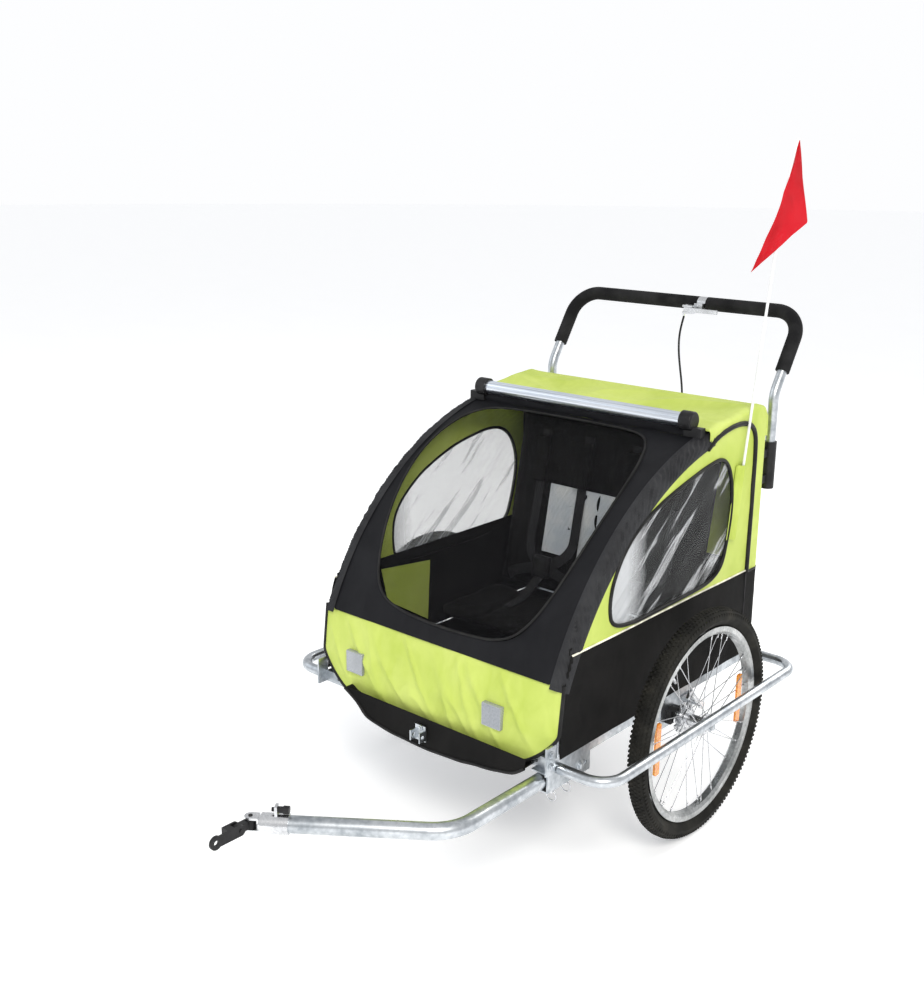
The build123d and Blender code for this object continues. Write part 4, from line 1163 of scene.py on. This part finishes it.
lining = cloth_sheet("head_lining", lining_place, 60, 10, (0.60, 0.06), inside=from_axle(0, 0.6, 0.8))
sewn(lining, black)
for side, sign in (("left", 1), ("right", -1)):
    def gusset_place(u, v):
        foot = Vector((-0.215, 0.403)).lerp(Vector((-0.080, 0.320)), u)
        spot = foot.lerp(Vector((-0.235, 0.485)).lerp(Vector((-0.073, 0.467)), u), v)
        return from_axle(sign * (side_x - 0.0075 + 0.001 * drift(u * 3, v * 3, 1.0)), spot.x, spot.y)

    gusset = cloth_sheet(
        f"{side}_front_gusset", gusset_place, 24, 22, (0.16, 0.12), inside=from_axle(sign * 0.6, -0.3, 0.4)
    )
    sewn(gusset, lime)

    def strip_place(u, v):
        return from_axle(sign * (side_x - 0.0085), -0.372 + 0.66 * u, 0.487 + 0.025 * v)

    strip = cloth_sheet(
        f"{side}_inner_binding", strip_place, 60, 3, (0.66, 0.024), inside=from_axle(sign * 0.6, 0, 0.5)
    )
    sewn(strip, black)


# ---- Seat and backrest ----------------------------------------------------------------------------------------
# Thin foam pads in black polyester, plump between sewn channels. Two blank pale patches are
# sewn to the backrest.
seat_low, seat_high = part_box("seat_cushion")
pad_voxel = 0.006
pad_pressure, pad_steps = 4, 20


def stuff(pad, rise):
    """Swells a pad under pressure. The solver overshoots, so its points end at rise from their start."""
    remesh = pad.modifiers.new("remesh", "REMESH")
    remesh.mode = "VOXEL"
    remesh.voxel_size = pad_voxel
    apply_modifiers(pad)
    still = [vertex.co.copy() for vertex in pad.data.vertices]
    cushion_cloth = pad.modifiers.new("plump", "CLOTH")
    cushion_cloth.settings.use_pressure = True
    cushion_cloth.settings.uniform_pressure_force = pad_pressure
    cushion_cloth.settings.effector_weights.gravity = 0
    for step in range(1, pad_steps + 1):
        bpy.context.scene.frame_set(step)
    apply_modifiers(pad)
    for vertex, start in zip(pad.data.vertices, still):
        move = vertex.co - start
        if move.length > rise:
            vertex.co = start + move.normalized() * rise
    bpy.context.scene.frame_set(1)


def channel(pad, axis, places, middle, normal, depth, width=0.010):
    """Presses sewn channels into a pad, along lines where axis has the given values."""
    for vertex in pad.data.vertices:
        nearest = min(abs(vertex.co[axis] - place) for place in places)
        if nearest < width:
            side = 1 if (vertex.co - middle).dot(normal) > 0 else -1
            vertex.co -= normal * side * depth * (0.5 + 0.5 * cos(pi * nearest / width))


def pad_block(name, low, high, lean=0.0, centre=None):
    bpy.ops.object.select_all(action="DESELECT")
    size = high - low
    bpy.ops.mesh.primitive_cube_add(
        size=1, location=(low + high) / 2 if centre is None else centre, scale=tuple(size), rotation=(lean, 0, 0)
    )
    pad = bpy.context.object
    pad.name = name
    settle(pad)
    bevel = pad.modifiers.new("edge", "BEVEL")
    bevel.width = min(size) * 0.38
    bevel.segments = 4
    apply_modifiers(pad)
    return pad


shrink = Vector((0.008, 0.008, 0.006))
seat = pad_block("seat_pad", seat_low + shrink, seat_high - shrink)
stuff(seat, 0.007)
seat_middle = (seat_low + seat_high) / 2
channel(seat, 0, (0.0,), seat_middle, Vector((0, 0, 1)), 0.010, 0.014)
channel(seat, 0, (-0.142, 0.142), seat_middle, Vector((0, 0, 1)), 0.004)
on_body(seat, "seat_pad", "trailer", black, 70)
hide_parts("seat_cushion")

rest_foot, rest_head = from_axle(0, 0.150, 0.366), from_axle(0, 0.236, 0.806)
rest_way = (rest_head - rest_foot).normalized()
rest_out = Vector((0, -rest_way.z, rest_way.y))
rest_length = (rest_head - rest_foot).length
rest_lean = -atan2(rest_way.y, rest_way.z)
rest_half = back_rest_high.x
rest_middle = (rest_foot + rest_head) / 2
rest_size = Vector((2 * rest_half - 0.014, 0.014, rest_length - 0.010))
rest = pad_block("backrest_pad", -rest_size / 2, rest_size / 2, rest_lean, rest_middle)
stuff(rest, 0.006)
channel(rest, 0, (0.0,), rest_middle, rest_out, 0.006, 0.014)
channel(rest, 0, (-0.24, 0.24), rest_middle, rest_out, 0.003)
on_body(rest, "backrest_pad", "trailer", black, 70)
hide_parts("backrest")


def on_rest(x, height, out):
    """A point on the backrest's front face, at a height above its foot."""
    return rest_foot + Vector((x, 0, 0)) + rest_way * height + rest_out * (0.0115 + out)


label, tree, shader = new_material("pale_patch", (0.72, 0.77, 0.83), 0.45)
faded = noise_pattern(tree, coordinates(tree), 16.0, 4.0)
tree.links.new(ramp(tree, faded, (0.35, (0.66, 0.72, 0.80)), (0.65, (0.90, 0.92, 0.94))), shader.inputs["Base Color"])
for number, left_x in enumerate((-0.159, -0.056)):
    def patch_place(u, v):
        x = left_x + 0.082 * u
        return on_rest(x, 0.103 + 0.166 * v, 0.0014 + 0.0012 * drift(u * 3, v * 5, 4.0 + number))

    patch = cloth_sheet(f"pale_patch_{number + 1}", patch_place, 16, 30, (0.08, 0.17))
    sewn(patch, label, (), 0.0006)


# ---- Harness --------------------------------------------------------------------------------------------------------
# Two five-point harnesses of black webbing: padded shoulder straps, waist straps and a
# crotch strap that meet in a moulded buckle.
webbing, tree, shader = new_material("black_webbing", (0.020, 0.020, 0.022), 0.6, shine=0.2)
rib = tree.nodes.new("ShaderNodeTexWave")
rib.bands_direction = "DIAGONAL"
rib.inputs["Scale"].default_value = 90.0
tree.links.new(coordinates(tree, "UV"), rib.inputs["Vector"])
tree.links.new(
    ramp(tree, rib.outputs["Fac"], (0.3, (0.012, 0.012, 0.013)), (0.7, (0.030, 0.030, 0.033))),
    shader.inputs["Base Color"]
)
bump(tree, shader, rib.outputs["Fac"], 0.0005, 0.7)


def strap(name, points, width, face_out, body="trailer"):
    """Flat webbing along a smooth line of points, lying across the way it faces."""
    line = [Vector(point) for point in points]

    def strap_place(u, v):
        reach_at = v * (len(line) - 1)
        number = min(int(reach_at), len(line) - 2)
        part = reach_at - number
        before = line[max(number - 1, 0)]
        start, end = line[number], line[number + 1]
        after = line[min(number + 2, len(line) - 1)]
        spot = 0.5 * (
            2 * start + (end - before) * part + (2 * before - 5 * start + 4 * end - after) * part**2
            + (3 * start - before - 3 * end + after) * part**3
        )
        across = (end - start).cross(face_out).normalized()
        return spot + across * (u - 0.5) * width

    ribbon = cloth_sheet(name, strap_place, 4, 14 * (len(line) - 1), (width, 0.3), inside=line[0] - face_out)
    wall = ribbon.modifiers.new("thickness", "SOLIDIFY")
    wall.thickness = 0.0016
    wall.offset = 1
    apply_modifiers(ribbon)
    return on_body(ribbon, name, body, webbing, 50)


for seat_number, middle_x in ((1, -0.128), (2, 0.128)):
    buckle = on_rest(middle_x, 0.072, 0.032)
    for strap_side, offset in (
        ("inner", -0.0615 if middle_x > 0 else 0.0615), ("outer", 0.0615 if middle_x > 0 else -0.0615)
    ):
        x = middle_x + offset
        points = [
            on_rest(x, 0.395, 0.001), on_rest(x, 0.30, 0.004), on_rest(x, 0.20, 0.005), on_rest(x, 0.13, 0.010),
            on_rest(middle_x + offset * 0.7, 0.095, 0.024), buckle + Vector((offset * 0.2, 0, 0.008)),
        ]
        strap(f"seat_{seat_number}_{strap_side}_shoulder_strap", points, 0.025, rest_out)
        pad_middle = on_rest(x, 0.325, 0.0125)
        bpy.ops.object.select_all(action="DESELECT")
        bpy.ops.mesh.primitive_cube_add(
            size=1, location=pad_middle, rotation=(rest_lean - 0.05, 0, 0), scale=(0.036, 0.011, 0.11)
        )
        pad = bpy.context.object
        settle(pad)
        bevel = pad.modifiers.new("edge", "BEVEL")
        bevel.width = 0.0045
        bevel.segments = 3
        crown = pad.modifiers.new("crown", "SUBSURF")
        crown.levels = 2
        crown.render_levels = 2
        apply_modifiers(pad)
        on_body(pad, f"seat_{seat_number}_{strap_side}_shoulder_pad", "trailer", black, 70)
        waist = [
            on_rest(middle_x + offset * 1.9, 0.025, 0.002), on_rest(middle_x + offset * 1.4, 0.045, 0.020),
            buckle + Vector((offset * 0.25, 0, -0.004))
        ]
        strap(f"seat_{seat_number}_{strap_side}_waist_strap", waist, 0.025, rest_out)
    crotch = [
        Vector((middle_x, seat_middle.y - 0.03, seat_high.z + 0.0015)),
        Vector((middle_x, seat_middle.y + 0.03, seat_high.z + 0.010)), buckle + Vector((0, -0.004, -0.018))
    ]
    strap(f"seat_{seat_number}_crotch_strap", crotch, 0.025, Vector((0, -0.5, 0.85)))
    bpy.ops.object.select_all(action="DESELECT")
    bpy.ops.mesh.primitive_cube_add(
        size=1, location=buckle + rest_out * 0.004, rotation=(rest_lean, 0, 0), scale=(0.046, 0.014, 0.052)
    )
    case = bpy.context.object
    settle(case)
    shape = bmesh.new()
    shape.from_mesh(case.data)
    faces = [face for face in shape.faces if face.normal.dot(rest_out) > 0.9]
    bmesh.ops.inset_region(shape, faces=faces, thickness=0.009, depth=0.003)
    shape.to_mesh(case.data)
    shape.free()
    bevel = case.modifiers.new("edge", "BEVEL")
    bevel.width = 0.003
    bevel.segments = 3
    apply_modifiers(case)
    on_body(case, f"seat_{seat_number}_buckle", "trailer", black_plastic)
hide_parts("harness_straps")


# ---- Safety flag ----------------------------------------------------------------------------------------------------
# A white glass-fibre pole stands in a sewn sleeve on the left side. A red pennant of thin
# coated cloth is sewn round its top.
pole_white, tree, shader = new_material("flag_pole_white", (0.82, 0.83, 0.84), 0.28)
shader.inputs["Coat Weight"].default_value = 0.4
gloss = noise_pattern(tree, coordinates(tree), 20.0, 3.0)
tree.links.new(ramp(tree, gloss, (0.3, (0.72, 0.73, 0.74)), (0.7, (0.88, 0.89, 0.90))), shader.inputs["Base Color"])
finish_nodes(pole_white, "flag_pole")
red = cloth("flag_red", (0.60, 0.008, 0.018), (0.42, 0.005, 0.010), 0.55, thread=0.0009, slack=0.35, shine=0.05)
flag_low, flag_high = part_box("flag_pennant")
pole_low, pole_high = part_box("flag_pole")
pole_x = pole_high.x - 0.003
pennant_top = Vector((pole_high.y - 0.006, flag_high.z - 0.001))
pennant_out = Vector((flag_high.y - 0.004, 1.258))
pennant_tail = Vector((flag_low.y + 0.004, flag_low.z + 0.002))


def pennant_place(u, v):
    """u runs across from the hollow left edge to the right, v down from the top to the tail."""
    left = pennant_top.lerp(pennant_tail, v)
    left += Vector((0.016, 0.0)) * sin(pi * v)
    if v < 0.42:
        edge = pennant_top.lerp(pennant_out, v / 0.42)
    else:
        edge = pennant_out.lerp(pennant_tail, (v - 0.42) / 0.58)
    spot = left.lerp(edge, u)
    wave = 0.006 * sin(2.6 * pi * v + 1.5 * u) * sin(pi * min(v + 0.06, 1)) + 0.002 * drift(u * 4, v * 9, 2.0)
    return Vector((pole_x + 0.0042 + 0.5 * abs(wave), spot.x, spot.y))


pennant = cloth_sheet(
    "red_pennant", pennant_place, 26, 70, (0.16, 0.28), inside=Vector((pole_x - 1, axle_y, 1.3)), welded=True
)
wall = pennant.modifiers.new("thickness", "SOLIDIFY")
wall.thickness = 0.0008
apply_modifiers(pennant)
on_body(pennant, "red_pennant", "flag", red, 60)
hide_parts("flag_pennant")

sleeve_low, sleeve_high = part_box("flag_pocket")


def sleeve_place(u, v):
    """A flat sewn tube round the pole's foot, with a flap either side that is stitched down."""
    foot = Vector(((sleeve_low.x + sleeve_high.x) / 2, sleeve_low.y + 0.006, min(sleeve_low.z, pole_low.z - 0.004)))
    head = Vector((foot.x, sleeve_high.y - 0.006, sleeve_high.z))
    centre = foot.lerp(head, v)
    across = 2 * u - 1
    if abs(across) > 0.55:
        return Vector((side_x + 0.0005, centre.y + across * 0.018, centre.z))
    angle = pi / 2 * across / 0.55
    return Vector((side_x + 0.0005 + 0.0118 * cos(angle), centre.y + 0.0098 * across / 0.55, centre.z))


sleeve = cloth_sheet("flag_sleeve", sleeve_place, 24, 24, (0.05, 0.15))
sewn(sleeve, lime, ["flag_pocket"], 0.0009)
